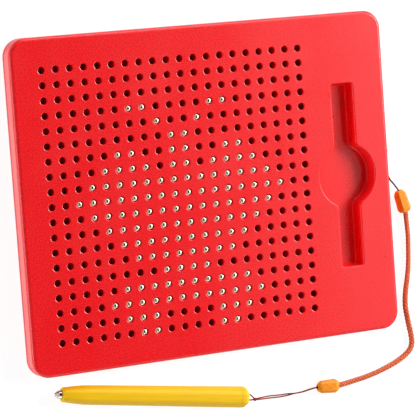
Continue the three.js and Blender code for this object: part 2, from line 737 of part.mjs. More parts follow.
function drawingBoard() {
  const board = new THREE.Group()
  board.add(frontShell(), backCover(), ballTray(), balls())
  screwPlaces().forEach(([x, y], index) => board.add(coverScrew(index + 1, x, y)))
  const rigid = new THREE.Group()
  rigid.add(board, pen())
  const whole = new THREE.Group()
  whole.add(rigid, lanyard())
  whole.updateMatrixWorld(true)
  const space = new THREE.Box3().setFromObject(rigid, true)
  const middle = space.getCenter(new THREE.Vector3())
  whole.position.set(-middle.x, -middle.y, 0)
  return whole
}

const group = drawingBoard()

export default group
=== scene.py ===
# %% [markdown]
# A magnetic drawing board with its tethered pen.
# The real thing is a flat case of red moulded plastic with 380 steel balls under a face full of holes.
# The pen's magnet lifts a ball into its hole, and a fingertip pushes it back down.
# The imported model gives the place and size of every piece, in metres: +X runs across the board,
# +Y towards its top edge and +Z out of its face. The board lies on its back on the table.

import math

import bmesh
import bpy
from mathutils import Matrix, Vector


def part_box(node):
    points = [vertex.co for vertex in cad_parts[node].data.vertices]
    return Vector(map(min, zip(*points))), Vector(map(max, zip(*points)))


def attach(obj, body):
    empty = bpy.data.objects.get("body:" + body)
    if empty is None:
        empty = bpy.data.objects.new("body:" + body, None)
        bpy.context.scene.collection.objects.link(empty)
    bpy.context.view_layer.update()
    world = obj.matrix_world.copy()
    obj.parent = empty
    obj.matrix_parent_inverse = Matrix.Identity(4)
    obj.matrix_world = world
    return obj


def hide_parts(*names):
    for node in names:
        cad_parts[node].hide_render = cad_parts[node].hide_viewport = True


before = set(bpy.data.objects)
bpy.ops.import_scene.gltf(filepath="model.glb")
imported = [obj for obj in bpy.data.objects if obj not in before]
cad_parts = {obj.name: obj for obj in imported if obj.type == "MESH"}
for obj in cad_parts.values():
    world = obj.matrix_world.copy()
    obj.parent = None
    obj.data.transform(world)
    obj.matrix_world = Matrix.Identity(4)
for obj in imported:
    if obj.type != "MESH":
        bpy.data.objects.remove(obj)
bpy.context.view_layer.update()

# %% [markdown]
# The camera first. It looks at the board from about 25 degrees to the left of the face's normal and
# 5 degrees above it, from far away through a long lens, so the edges of the board stay almost parallel.

# %% Camera
CAMERA_PLACE = Vector((-0.60658, 0.1345, 1.2463))
CAMERA_LOOK = Vector((0.43703, -0.09238, -0.89469)).normalized()
CAMERA_UP = Vector((0.10546, 0.99311, -0.05103))
CAMERA_LENS_MM = 207.84

camera = bpy.data.objects.new("camera", bpy.data.cameras.new("camera"))
bpy.context.scene.collection.objects.link(camera)
camera_right = CAMERA_LOOK.cross(CAMERA_UP).normalized()
turn = Matrix((camera_right, camera_right.cross(CAMERA_LOOK), -CAMERA_LOOK)).transposed()
camera.matrix_world = Matrix.Translation(CAMERA_PLACE) @ turn.to_4x4()
camera.data.lens = CAMERA_LENS_MM
camera.data.clip_end = 100
bpy.context.scene.camera = camera
print("camera distance, m:", round(CAMERA_PLACE.length, 3))

# %% [markdown]
# A few helpers stand for what a hand does at the modelling desk: pick one object, pick some of its
# edges or faces by where they are, round them, cut one solid with another, and draw out an end. A
# finished piece keeps its place in its mesh, so its object stays at the origin.

# %% Start, place and pick
MM = 0.001  # lengths are in metres, so that a size in millimetres is written as a number times MM
TOUCHING = 0.01 * MM
X_AXIS, Z_AXIS = 0, 2


def activate(piece):
    if bpy.context.mode != "OBJECT":
        bpy.ops.object.mode_set(mode="OBJECT")
    bpy.ops.object.select_all(action="DESELECT")
    piece.select_set(True)
    bpy.context.view_layer.objects.active = piece


def settle(piece):
    """Moves the object's place, turn and size into its mesh."""
    activate(piece)
    bpy.ops.object.transform_apply(location=True, rotation=True, scale=True)
    return piece


def add_block(name, low, high):
    bpy.ops.object.select_all(action="DESELECT")
    low, high = Vector(low), Vector(high)
    bpy.ops.mesh.primitive_cube_add(size=1, location=(low + high) / 2, scale=high - low)
    bpy.context.object.name = name
    return settle(bpy.context.object)


def add_rod(name, radius, start, end, sides):
    """A cylinder between two points that lie along X or along Z."""
    bpy.ops.object.select_all(action="DESELECT")
    start, end = Vector(start), Vector(end)
    lying = (0, math.pi / 2, 0) if abs(end.x - start.x) > abs(end.z - start.z) else (0, 0, 0)
    bpy.ops.mesh.primitive_cylinder_add(vertices=sides, radius=radius, depth=(end - start).length,
                                        location=(start + end) / 2, rotation=lying)
    bpy.context.object.name = name
    return settle(bpy.context.object)


def add_upright_rod(name, radius, place, bottom, top, sides):
    """A cylinder over a place on the board, from one height to another."""
    return add_rod(name, radius, (place[0], place[1], bottom), (place[0], place[1], top), sides)


def pick(piece, kind, test):
    """Opens the piece for editing with only the edges or faces selected that pass the test."""
    activate(piece)
    bpy.ops.object.mode_set(mode="EDIT")
    bpy.ops.mesh.select_mode(type=kind)
    bpy.ops.mesh.select_all(action="DESELECT")
    mesh = bmesh.from_edit_mesh(piece.data)
    mesh.normal_update()
    chosen = [item for item in {"EDGE": mesh.edges, "FACE": mesh.faces}[kind] if test(item)]
    for item in chosen:
        item.select_set(True)
    mesh.select_flush_mode()
    bmesh.update_edit_mesh(piece.data)
    return len(chosen)


def pick_all(piece):
    return pick(piece, "FACE", lambda face: True)


def pick_end(piece, axis, side):
    """Picks the faces that look along the axis, towards its positive side (1) or the other (-1)."""
    return pick(piece, "FACE", lambda face: face.normal[axis] * side > 0.9)


def close(piece):
    bpy.ops.object.mode_set(mode="OBJECT")
    return piece


print("helpers ready: start, place and pick")

# %% Round, cut, join, repeat and shade
def is_along(edge, axis):
    way = (edge.verts[0].co - edge.verts[1].co).normalized()
    return abs(way[axis]) > 0.99


def is_level_at(edge, height):
    return all(abs(vertex.co.z - height) < TOUCHING for vertex in edge.verts)


def round_edges(piece, test, radius, steps):
    found = pick(piece, "EDGE", test)
    bpy.ops.mesh.bevel(offset=radius, segments=steps, profile=0.5, affect="EDGES", clamp_overlap=True)
    close(piece)
    return found


def combine(piece, other, operation):
    activate(piece)
    change = piece.modifiers.new("combine", "BOOLEAN")
    change.object = other
    change.operation = operation
    change.solver = "MANIFOLD"
    bpy.ops.object.modifier_apply(modifier=change.name)
    bpy.data.objects.remove(other)
    return piece


def join(piece, other):
    return combine(piece, other, "UNION")


def cut(piece, other):
    return combine(piece, other, "DIFFERENCE")


def repeat(piece, count, step):
    activate(piece)
    copies = piece.modifiers.new("repeat", "ARRAY")
    copies.count = count
    copies.use_relative_offset = False
    copies.use_constant_offset = True
    copies.constant_offset_displace = step
    bpy.ops.object.modifier_apply(modifier=copies.name)
    return piece


def shade(piece, degrees=30):
    """Smooth across gentle edges only, with flat faces kept flat."""
    activate(piece)
    bpy.ops.object.shade_smooth_by_angle(angle=math.radians(degrees))
    even = piece.modifiers.new("even", "WEIGHTED_NORMAL")
    even.keep_sharp = True
    bpy.ops.object.modifier_apply(modifier=even.name)
    return piece


print("helpers ready: round, cut, join, repeat and shade")

# %% Draw out an end
def selected_middle(piece):
    mesh = bmesh.from_edit_mesh(piece.data)
    chosen = [vertex.co for vertex in mesh.verts if vertex.select]
    return sum(chosen, Vector()) / len(chosen)


def resize_end(piece, share, axis=X_AXIS):
    """The picked end changes size by a share, square to the axis."""
    value = [share, share, share]
    value[axis] = 1
    bpy.ops.transform.resize(value=value, center_override=selected_middle(piece))


def extend(piece, steps, axis=X_AXIS):
    """The picked end goes on along the axis by each step's way, and changes size by its share."""
    for way, share in steps:
        move = [0, 0, 0]
        move[axis] = way
        bpy.ops.mesh.extrude_region_move(TRANSFORM_OT_translate={"value": move})
        resize_end(piece, share, axis)


def steps_along(profile):
    """A profile, as points of (distance, radius), turned into the steps that extend takes."""
    return [(far - near, after / before)
            for (near, before), (far, after) in zip(profile, profile[1:])]


def quarter_round(steps):
    """The points of a quarter circle: how far along it has come, and how far inwards."""
    turns = [i / steps * math.pi / 2 for i in range(1, steps + 1)]
    return [(math.sin(turn), 1 - math.cos(turn)) for turn in turns]


print("helpers ready: draw out an end")

# %% [markdown]
# The lanyard comes next, because its length and route are facts of the object. It lies beside the
# board: a thin string out of the board's right side, a clip, a braided strap and a second clip.
# Its two thin strands end in a knot behind the pen. The route's points are the ones that the solids follow.

# %% Routes of the cords
shell_low, shell_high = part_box("front_shell")
cover_low, cover_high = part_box("back_cover")
board_middle = Vector(((shell_low.x + shell_high.x) / 2, (shell_low.y + shell_high.y) / 2, 0))
BOARD_STRING_ROUTE = [
    (116.3, 12, 7.5), (118.5, 12, 7.5), (119.9, 11.7, 7), (121.3, 10.2, 4.9), (122.2, 7, 2.3),
    (122.6, 2.6, 0.8), (123, -2.4, 0.6), (124.4, -6.8, 0.8), (126.4, -9.4, 0.9), (127.8, -11.8, 1.8),
    (128.85, -14.2, 2.95), (129.35, -16, 3.1),
]
STRAP_ROUTE = [
    (131.2, -22.4, 3.1), (132.75, -27.9, 3), (133.3, -30.7, 2.3), (134, -36.1, 1.6), (134.25, -41.6, 1.6),
    (134.05, -47.1, 1.6), (133.75, -52.6, 1.6), (133.35, -58, 1.6), (132.65, -63.4, 1.6),
    (131.6, -68.8, 1.6), (130.35, -74.2, 1.6), (129.5, -79.6, 1.6), (129.25, -85, 1.6),
    (129.9, -90.6, 1.6), (130.75, -96.2, 1.6), (131.8, -101.9, 1.6), (132.1, -107.3, 1.6),
    (130.7, -111, 1.6), (127.3, -114, 1.6), (121.4, -117.2, 1.6), (115.6, -119.4, 1.6), (107, -122, 1.6),
    (98.5, -123.9, 1.6), (90.1, -125.1, 1.7), (84.2, -125.8, 2.2), (78.6, -126.1, 3), (72.9, -125.8, 3.1),
]
UPPER_STRAND_ROUTE = [
    (65.8, -125.48, 3.6), (63.9, -125.3, 3.55), (59, -126, 2.85), (55, -126.8, 2.15), (50, -127.05, 1.65),
    (45.2, -126.8, 1), (39.6, -126.7, 1), (32.4, -126.2, 1.7), (26, -125.95, 4.1), (22.1, -125.8, 5.7),
]
LOWER_STRAND_ROUTE = [
    (65.8, -125.48, 2.6), (63.9, -125.4, 2.45), (59, -126.1, 1.75), (55, -126.95, 1.05), (50, -127.3, 0.55),
    (45.3, -127.8, 0.5), (39.6, -127.95, 0.5), (32.5, -127.5, 1.2), (26.1, -127, 3.3), (22.1, -126.5, 5),
]
FINE_STEPS = 24


def on_board(point):
    """A point given in millimetres from the board's middle."""
    return board_middle + Vector(point) * MM


def on_route(route):
    return [on_board(point) for point in route]


def smooth_line(points, spacing):
    """A smooth line through all points (centripetal, as the solids have it), in even steps."""
    ends = [2 * points[0] - points[1], *points, 2 * points[-1] - points[-2]]
    fine = []
    for before, start, end, after in zip(ends, ends[1:], ends[2:], ends[3:]):
        spans = [math.sqrt((b - a).length) for a, b in ((before, start), (start, end), (end, after))]
        leave = (start - before) / spans[0] - (end - before) / (spans[0] + spans[1]) \
            + (end - start) / spans[1]
        arrive = (end - start) / spans[1] - (after - start) / (spans[1] + spans[2]) \
            + (after - end) / spans[2]
        leave, arrive = leave * spans[1], arrive * spans[1]
        for i in range(FINE_STEPS):
            t = i / FINE_STEPS
            fine.append(start + leave * t + (3 * (end - start) - 2 * leave - arrive) * t ** 2
                        + (2 * (start - end) + leave + arrive) * t ** 3)
    fine.append(points[-1])
    return even_steps(fine, spacing)


def length_of(line):
    return sum((b - a).length for a, b in zip(line, line[1:]))


def even_steps(line, spacing):
    total = length_of(line)
    count = max(2, round(total / spacing))
    steps, walked, goal = [line[0]], 0, 1
    for a, b in zip(line, line[1:]):
        stretch = (b - a).length
        while goal < count and walked + stretch >= goal * total / count:
            steps.append(a.lerp(b, (goal * total / count - walked) / stretch))
            goal += 1
        walked += stretch
    return [*steps, line[-1]]


for label, route in (("board string", BOARD_STRING_ROUTE), ("strap", STRAP_ROUTE),
                     ("upper strand", UPPER_STRAND_ROUTE), ("lower strand", LOWER_STRAND_ROUTE)):
    print(label, "mm:", round(length_of(smooth_line(on_route(route), 0.5 * MM)) / MM, 1))

# %% [markdown]
# A string is three twisted plies, and the strap is a flat braid of eight strands. Both could be one
# tube with a pattern in its material, but the lay of the strands shows at the edges of so thin a
# thing, so every ply and strand here is a tube of its own, laid round the same centreline.

# %% Strands laid round a centreline
def frames_along(line):
    """For each point of the line: the point, a level direction across and the direction up."""
    frames = []
    for i, point in enumerate(line):
        ahead = (line[min(i + 1, len(line) - 1)] - line[max(i - 1, 0)]).normalized()
        across = ahead.cross(Vector((0, 0, 1))).normalized()
        frames.append((point, across, across.cross(ahead)))
    return frames


def add_strands(name, strands, sides):
    """Each strand is a list of rings, and each ring is (place, outward, width, thickness)."""
    corners, faces, uvs = [], [], []
    for rings in strands:
        first = len(corners)
        for i, (place, outward, width, thickness) in enumerate(rings):
            ahead = rings[min(i + 1, len(rings) - 1)][0] - rings[max(i - 1, 0)][0]
            across = ahead.cross(outward).normalized()
            lift = across.cross(ahead).normalized()
            for k in range(sides):
                angle = 2 * math.pi * k / sides
                corners.append(place + across * (math.cos(angle) * width / 2)
                               + lift * (math.sin(angle) * thickness / 2))
        step = length_of([ring[0] for ring in rings]) / (len(rings) - 1)
        for i in range(len(rings) - 1):
            for k in range(sides):
                a, b = first + i * sides + k, first + i * sides + (k + 1) % sides
                faces.append((a, b, b + sides, a + sides))
                u, v = k / sides, i * step
                uvs += [(u, v), (u + 1 / sides, v), (u + 1 / sides, v + step), (u, v + step)]
        last = len(corners) - sides
        faces.append([first + k for k in reversed(range(sides))])
        faces.append([last + k for k in range(sides)])
        uvs += [(0, 0)] * (2 * sides)
    data = bpy.data.meshes.new(name)
    data.from_pydata(corners, [], faces)
    layer = data.uv_layers.new(name="along_strand")
    for loop, uv in zip(layer.data, uvs):
        loop.uv = uv
    piece = bpy.data.objects.new(name, data)
    bpy.context.scene.collection.objects.link(piece)
    pick_all(piece)
    bpy.ops.mesh.normals_make_consistent(inside=False)
    close(piece)
    activate(piece)
    bpy.ops.object.shade_smooth()
    return piece


print("helpers ready: strands")

# %% Strings of three twisted plies
STRING_DIAMETER = 1.05 * MM
STRAND_DIAMETER = 0.85 * MM
STRING_PITCH = 2.4 * MM
STRING_STEPS = 12
STRING_SIDES = 8
PLIES = 3
PLY_SHARE = 0.6


def twisted_string(name, points, diameter):
    ply = PLY_SHARE * diameter
    line = smooth_line(points, STRING_PITCH / STRING_STEPS)
    strands = [[] for _ in range(PLIES)]
    for i, (point, across, up) in enumerate(frames_along(line)):
        for number, rings in enumerate(strands):
            angle = 2 * math.pi * (number / PLIES + i / STRING_STEPS)
            outward = across * math.cos(angle) + up * math.sin(angle)
            rings.append((point + outward * (diameter - ply) / 2, outward, ply, ply))
    return add_strands(name, strands, STRING_SIDES), line


board_string, board_string_line = twisted_string("board_string_twisted", on_route(BOARD_STRING_ROUTE),
                                                 STRING_DIAMETER)
upper_strand, upper_strand_line = twisted_string("pen_string_upper", on_route(UPPER_STRAND_ROUTE),
                                                 STRAND_DIAMETER)
lower_strand, lower_strand_line = twisted_string("pen_string_lower", on_route(LOWER_STRAND_ROUTE),
                                                 STRAND_DIAMETER)
print("faces in the board's string:", len(board_string.data.polygons))

# %% Strap of eight braided strands
STRAP_WIDTH = 3.5 * MM
STRAP_THICKNESS = 2.8 * MM
STRAP_LEAN_RADIANS = 0.5
STRAP_LEAN_TURNS = 1.5
BRAID_PITCH = 8.6 * MM
BRAID_PAIRS = 4
BRAID_STRAND_WIDTH = 1.3 * MM
BRAID_STRAND_THICKNESS = 0.6 * MM
BRAID_DIVE = 0.3
BRAID_STEPS = 40
BRAID_SIDES = 6


def braided_strap(name, points):
    """Half of the strands wind one way and half the other, and each dives under those it meets."""
    line = smooth_line(points, BRAID_PITCH / BRAID_STEPS)
    strands = [[] for _ in range(2 * BRAID_PAIRS)]
    for i, (point, across, up) in enumerate(frames_along(line)):
        along = i / BRAID_STEPS
        lean = STRAP_LEAN_RADIANS * math.sin(2 * math.pi * i / len(line) * STRAP_LEAN_TURNS)
        side = across * math.cos(lean) + up * math.sin(lean)
        top = up * math.cos(lean) - across * math.sin(lean)
        weave = math.cos(2 * math.pi * along * BRAID_PAIRS)
        for number, rings in enumerate(strands):
            way = 1 if number < BRAID_PAIRS else -1
            angle = 2 * math.pi * (number % BRAID_PAIRS / BRAID_PAIRS + way * along)
            depth = BRAID_STRAND_THICKNESS * (1 - way * weave) * BRAID_DIVE
            half_width = STRAP_WIDTH / 2 - BRAID_STRAND_THICKNESS / 2 - depth
            half_thickness = STRAP_THICKNESS / 2 - BRAID_STRAND_THICKNESS / 2 - depth
            place = point + side * (half_width * math.cos(angle)) + top * (half_thickness * math.sin(angle))
            outward = side * (math.cos(angle) / half_width) + top * (math.sin(angle) / half_thickness)
            rings.append((place, outward.normalized(), BRAID_STRAND_WIDTH, BRAID_STRAND_THICKNESS))
    return add_strands(name, strands, BRAID_SIDES), line


strap, strap_line = braided_strap("strap_braided", on_route(STRAP_ROUTE))
print("faces in the strap:", len(strap.data.polygons))

# %% [markdown]
# Each clip is a small solid moulding with eight long faces, a little thicker towards the strap. Its
# thin end, where the string goes in, is drawn in and rounded over. It is made as a hand would: a block
# with its long edges cut off, one end made smaller, then the end faces extruded and made smaller still.

# %% Clips
CLIP_LENGTH = 13.7 * MM
CLIP_BODY_START = 0.2 * CLIP_LENGTH
CLIP_BODY_END = 0.86 * CLIP_LENGTH
CLIP_NECK_LENGTH = 0.13 * CLIP_LENGTH
CLIP_MOUTH_LENGTH = 0.07 * CLIP_LENGTH
CLIP_STRAP_END_LENGTH = 0.14 * CLIP_LENGTH
CLIP_WIDTH = 8.1 * MM
CLIP_HEIGHT = 6.2 * MM
CLIP_CHAMFER = 1.7 * MM
CLIP_EDGE_ROUND = 0.35 * MM
CLIP_STRAP_DEPTH = 6 * MM
CLIP_SHOULDER_SHARE = 0.9
CLIP_NECK_SHARE = 0.7
CLIP_MOUTH_SHARE = 0.45
CLIP_STRAP_END_SHARE = 0.74
STRING_HOLE_PLAY = 0.6 * MM
STRAP_HOLE_PLAY = 0.1 * MM
CREASE_RADIANS = 0.4
OVERRUN = 1 * MM


def lanyard_clip(name, string_hole, place, degrees):
    half_width, half_height = CLIP_WIDTH / 2, CLIP_HEIGHT / 2
    clip = add_block(name, (CLIP_BODY_START, -half_width, -half_height),
                     (CLIP_BODY_END, half_width, half_height))
    pick(clip, "EDGE", lambda edge: is_along(edge, X_AXIS))
    bpy.ops.mesh.bevel(offset=CLIP_CHAMFER, segments=1, affect="EDGES")
    close(clip)
    pick_end(clip, X_AXIS, -1)
    resize_end(clip, CLIP_SHOULDER_SHARE)
    extend(clip, [(-CLIP_NECK_LENGTH, CLIP_NECK_SHARE / CLIP_SHOULDER_SHARE),
                  (-CLIP_MOUTH_LENGTH, CLIP_MOUTH_SHARE / CLIP_NECK_SHARE)])
    close(clip)
    pick_end(clip, X_AXIS, 1)
    extend(clip, [(CLIP_STRAP_END_LENGTH, CLIP_STRAP_END_SHARE)])
    close(clip)
    round_edges(clip, lambda edge: edge.calc_face_angle(0) > CREASE_RADIANS, CLIP_EDGE_ROUND, steps=3)
    strap_end = CLIP_LENGTH - CLIP_STRAP_DEPTH
    cut(clip, add_rod("string_hole", string_hole / 2, (-OVERRUN, 0, 0), (strap_end + OVERRUN, 0, 0),
                      sides=16))
    cut(clip, add_rod("strap_hole", STRAP_WIDTH / 2 + STRAP_HOLE_PLAY, (strap_end, 0, 0),
                      (CLIP_LENGTH + OVERRUN, 0, 0), sides=20))
    clip.rotation_euler.z = math.radians(degrees)
    clip.location = on_board((*place, 0)) + Vector((0, 0, half_height))
    return shade(settle(clip))


board_clip = lanyard_clip("board_clip_moulded", string_hole=STRING_DIAMETER + STRING_HOLE_PLAY,
                          place=(128.85, -14.2), degrees=-74.1)
pen_clip = lanyard_clip("pen_clip_moulded", string_hole=2 * STRAND_DIAMETER + STRING_HOLE_PLAY,
                        place=(64.3, -125.4), degrees=-2.8)
print("clip faces:", len(board_clip.data.polygons), len(pen_clip.data.polygons))

# %% [markdown]
# Both knots are drawn tight: one holds the lanyard inside the board's wall, and the other ties the two
# strands behind the pen. At their size a closed trefoil of thread looks just like them.
# The pen's loop goes through the tail, round the bridge in its pocket, and back to the knot.

# %% Knots and the pen's loop
def box_middle(node):
    low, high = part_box(node)
    return (low + high) / 2


def box_height(node):
    low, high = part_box(node)
    return high.z - low.z


PEN_TURN = math.radians(171.3)
PEN_TILT = math.atan(0.006205)
PEN_KNOT_FROM_TAIL = Vector((-5.4, 1.2, 0)) * MM
TREFOIL_STEPS = 72
TREFOIL_REACH = 3
TREFOIL_HEIGHT = 1.6
pen_frame = Matrix.Rotation(PEN_TURN, 3, "Z") @ Matrix.Rotation(PEN_TILT, 3, "Y")
pen_tail = box_middle("pen_knot") - pen_frame @ PEN_KNOT_FROM_TAIL


def tight_knot(name, place, diameter, thread):
    """A trefoil of thread that fills a small ball."""
    scale = (diameter - thread) / 2 / TREFOIL_REACH
    line = []
    for i in range(TREFOIL_STEPS + 1):
        t = 2 * math.pi * i / TREFOIL_STEPS
        line.append(place + scale * Vector((math.sin(t) + 2 * math.sin(2 * t),
                                            math.cos(t) - 2 * math.cos(2 * t),
                                            -TREFOIL_HEIGHT * math.sin(3 * t))))
    rings = [(point, point - place + Vector((0, 0, TOUCHING)), thread, thread) for point in line]
    return add_strands(name, [rings], STRING_SIDES)


def on_pen(point):
    """A point given along the pen, across it and up from its axis."""
    return pen_tail + pen_frame @ (Vector(point) * MM)


pen_knot = tight_knot("pen_string_knot", box_middle("pen_knot"), box_height("pen_knot"), STRAND_DIAMETER)
stop_knot = tight_knot("board_string_stop_knot", box_middle("lanyard_stop_knot"),
                       box_height("lanyard_stop_knot"), STRING_DIAMETER)
LOOP_ROUTE = [
    (-4.6, 0.5, 0.3), (-3.2, -0.6, 0.5), (-1.6, -1.6, 0.4), (0, -1.7, 0), (1.7, -1.3, 0), (2.6, -0.6, 0),
    (2.75, 0, 0), (2.6, 0.6, 0), (1.7, 1.3, 0), (0.3, 1.5, 0), (-1.4, 1.6, 0), (-3, 1.6, 0.1), (-4.6, 1.4, 0),
]
pen_loop, loop_line = twisted_string("pen_string_loop", [on_pen(point) for point in LOOP_ROUTE],
                                     STRAND_DIAMETER)
print("loop length mm:", round(length_of(loop_line) / MM, 1))

# %% [markdown]
# Now the cord pieces ride on the board's body, and the loop on the pen's, and the imported cord parts are
# hidden.
# Each leaves the object, or a piece on another cord, and ends in the next clip or in the knot.

for piece in (board_string, upper_strand, lower_strand, strap, board_clip, pen_clip, pen_knot, stop_knot):
    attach(piece, "board")
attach(pen_loop, "pen")
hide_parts("board_string")
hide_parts("pen_strand_1")
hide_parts("pen_strand_2")
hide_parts("lanyard_strap")
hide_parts("board_clip")
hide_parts("pen_clip")
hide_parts("pen_knot")
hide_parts("lanyard_stop_knot")
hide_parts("pen_loop")

# %% [markdown]
# The front moulding is the heart of the toy: a shallow shell with round corners, a face with 380
# holes, a recess for the pen with a round finger well, and bars under the face that part the
# balls. It is cut from solids, because every hole has to be a real one with a rounded rim.
# First the outer form: a block with its upright edges rounded, then its top edge.

# %% Front moulding: outer form and hollow
CORNER_RADIUS = 10.5 * MM
FRONT_EDGE_ROUND = 2.4 * MM
BACK_EDGE_ROUND = 2.5 * MM
SIDE_WALL = 2.2 * MM
FACE_THICKNESS = 1.2 * MM
INNER_WALL = 1.6 * MM
FIT_GAP = 0.3 * MM
SEAM_HEIGHT = 3.4 * MM
CORNER_STEPS = 10
EDGE_STEPS = 6
face_height = shell_high.z
face_underside = face_height - FACE_THICKNESS
inside_face = face_underside + FACE_THICKNESS / 2


def rounded_slab(name, inset, bottom, top):
    """A block over the whole board with round upright edges, drawn in from every side by inset."""
    low = Vector((shell_low.x + inset, shell_low.y + inset, bottom))
    high = Vector((shell_high.x - inset, shell_high.y - inset, top))
    slab = add_block(name, low, high)
    round_edges(slab, lambda edge: is_along(edge, Z_AXIS), CORNER_RADIUS - inset, CORNER_STEPS)
    return slab


front = rounded_slab("front_moulding", 0, SEAM_HEIGHT + FIT_GAP, face_height)
round_edges(front, lambda edge: is_level_at(edge, face_height), FRONT_EDGE_ROUND, EDGE_STEPS)
cut(front, rounded_slab("hollow", SIDE_WALL, 0, face_underside))
print("front moulding, outer form:", len(front.data.polygons), "faces")

# %% [markdown]
# Inside, a square wall holds the ball tray, and 19 bars hang from the face between the columns.
# They can hardly be seen through the holes, but they keep the light out and make the part whole.
# One bar is made and the rest are copies at the pitch of the holes, which the balls' places give.

# %% Front moulding: walls and bars behind the face
COLUMNS = 20
ROWS = 19
MIDDLE_ROW = 10
BALL_RADIUS = 2.25 * MM
CHANNEL_CLEARANCE = 0.2 * MM
BAR_REACH = 0.1 * MM
first_ball = box_middle("ball_r10_c01")
pitch = (box_middle("ball_r10_c20").x - first_ball.x) / (COLUMNS - 1)
lowered_height = first_ball.z
raised_height = box_middle("ball_r10_c10").z
tray_low, tray_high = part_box("ball_tray")
bar_width = pitch - 2 * (BALL_RADIUS + CHANNEL_CLEARANCE)


def ball_place(row, column, height):
    return Vector((first_ball.x + (column - 1) * pitch, first_ball.y + (MIDDLE_ROW - row) * pitch, height))


skirt_low = Vector((tray_low.x - FIT_GAP - INNER_WALL, tray_low.y - FIT_GAP - INNER_WALL, shell_low.z))
skirt_high = Vector((tray_high.x + FIT_GAP + INNER_WALL, tray_high.y + FIT_GAP + INNER_WALL, inside_face))
skirt = add_block("skirt", skirt_low, skirt_high)
inside = add_block("inside", skirt_low + Vector((INNER_WALL, INNER_WALL, -OVERRUN)),
                   (skirt_high.x - INNER_WALL, skirt_high.y - INNER_WALL, face_underside))
join(front, cut(skirt, inside))
bar_left = ball_place(1, 1, 0).x + pitch / 2 - bar_width / 2
bar = add_block("bar", (bar_left, skirt_low.y + INNER_WALL / 2, lowered_height - BAR_REACH),
                (bar_left + bar_width, skirt_high.y - INNER_WALL / 2, inside_face))
join(front, repeat(bar, COLUMNS - 1, (pitch, 0, 0)))
print("hole pitch mm:", round(pitch / MM, 2))
print("ball travel mm:", round((raised_height - lowered_height) / MM, 2))

# %% [markdown]
# The screw posts stand behind the face at the four corners and at the middle of the long sides. The
# lanyard's hole goes through the right side wall, where the string leaves the board.

# %% Front moulding: screw posts and the lanyard's hole
POST_RADIUS = 3.5 * MM
SCREW_BORE_RADIUS = 1.5 * MM
SCREW_NODES = [f"cover_screw_{number}" for number in range(1, 7)]
POST_HEIGHT = 4 * MM
LANYARD_HOLE_RADIUS = 1.1 * MM
screw_places = [Vector((*box_middle(node).xy, 0)) for node in SCREW_NODES]
screw_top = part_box(SCREW_NODES[0])[1].z
for place in screw_places:
    join(front, add_upright_rod("post", POST_RADIUS, place, POST_HEIGHT + FIT_GAP, inside_face, sides=24))
    cut(front, add_upright_rod("pilot", SCREW_BORE_RADIUS, place, POST_HEIGHT - OVERRUN,
                               screw_top + FIT_GAP, sides=24))
wall_exit = on_board(BOARD_STRING_ROUTE[1])
cut(front, add_rod("lanyard_hole", LANYARD_HOLE_RADIUS, wall_exit - Vector((SIDE_WALL + OVERRUN, 0, 0)),
                   wall_exit + Vector((OVERRUN, 0, 0)), sides=20))
print("screw posts:", len(screw_places))

# %% [markdown]
# The recess is a straight slot for the pen, crossed by a round well for thumb and finger. In the
# mould it is one smooth core, so it is made here as one solid: slot and well joined, and their
# meeting corners rounded. The same form, fatter by one wall, is joined to the shell first and leaves a
# tub when the recess is cut out of it. The core starts above the face, and its underside is carried
# down in steps, each drawn in evenly: first a rounded rim, then a wall with draft, then a rounded foot.

# %% Front moulding: pen recess
SLOT_LENGTH = 110.4 * MM
SLOT_WIDTH = 16.4 * MM
SLOT_CORNER = 2.6 * MM
WELL_RADIUS = 19.6 * MM
RECESS_DEPTH = 8 * MM
RECESS_RIM = 0.9 * MM
RECESS_DRAFT = 0.3 * MM
RECESS_FOOT_ROUND = 3 * MM
RECESS_FOOT_INSET = 1.25 * MM
RECESS_MEETING_ROUND = 1.2 * MM
RECESS_RIM_STEPS = 5
RECESS_FOOT_STEPS = 6
RECESS_CORE_START = 0.02 * MM
MERGE_DISTANCE = 0.2 * MM
recess_middle = on_board((89.4, -0.6, 0))
recess_floor = face_height - RECESS_DEPTH


def recess_form(name, grow, bottom, top):
    """The slot joined with the round well, wider than the recess by grow on every side."""
    half = Vector((SLOT_WIDTH / 2 + grow, SLOT_LENGTH / 2 + grow, 0))
    form = add_block(name, recess_middle - half + Vector((0, 0, bottom)),
                     recess_middle + half + Vector((0, 0, top)))
    round_edges(form, lambda edge: is_along(edge, Z_AXIS), SLOT_CORNER + grow, steps=5)
    join(form, add_upright_rod("well", WELL_RADIUS + grow, recess_middle, bottom, top, sides=72))
    pick_all(form)
    bpy.ops.mesh.remove_doubles(threshold=MERGE_DISTANCE)
    close(form)
    meets = math.sqrt((WELL_RADIUS + grow) ** 2 - half.x ** 2)

    def is_meeting(edge):
        if not is_along(edge, Z_AXIS):
            return False
        place = edge.verts[0].co - recess_middle
        return (abs(abs(place.x) - half.x) < MERGE_DISTANCE
                and abs(abs(place.y) - meets) < 2 * MERGE_DISTANCE)

    print(name, "meeting corners:", round_edges(form, is_meeting, RECESS_MEETING_ROUND, steps=4))
    pick_all(form)
    bpy.ops.mesh.dissolve_limited(angle_limit=math.radians(1))
    return close(form)


def draw_in(form, way):
    """Each corner of the selected outline moves in, square to the two upright walls beside it."""
    mesh = bmesh.from_edit_mesh(form.data)
    mesh.normal_update()
    moves = []
    for corner in mesh.verts:
        if corner.select:
            one, other = [face.normal for face in corner.link_faces if abs(face.normal.z) < 0.1]
            moves.append((corner, (one + other) / (1 + one.dot(other))))
    for corner, outward in moves:
        corner.co -= way * outward
    bmesh.update_edit_mesh(form.data)


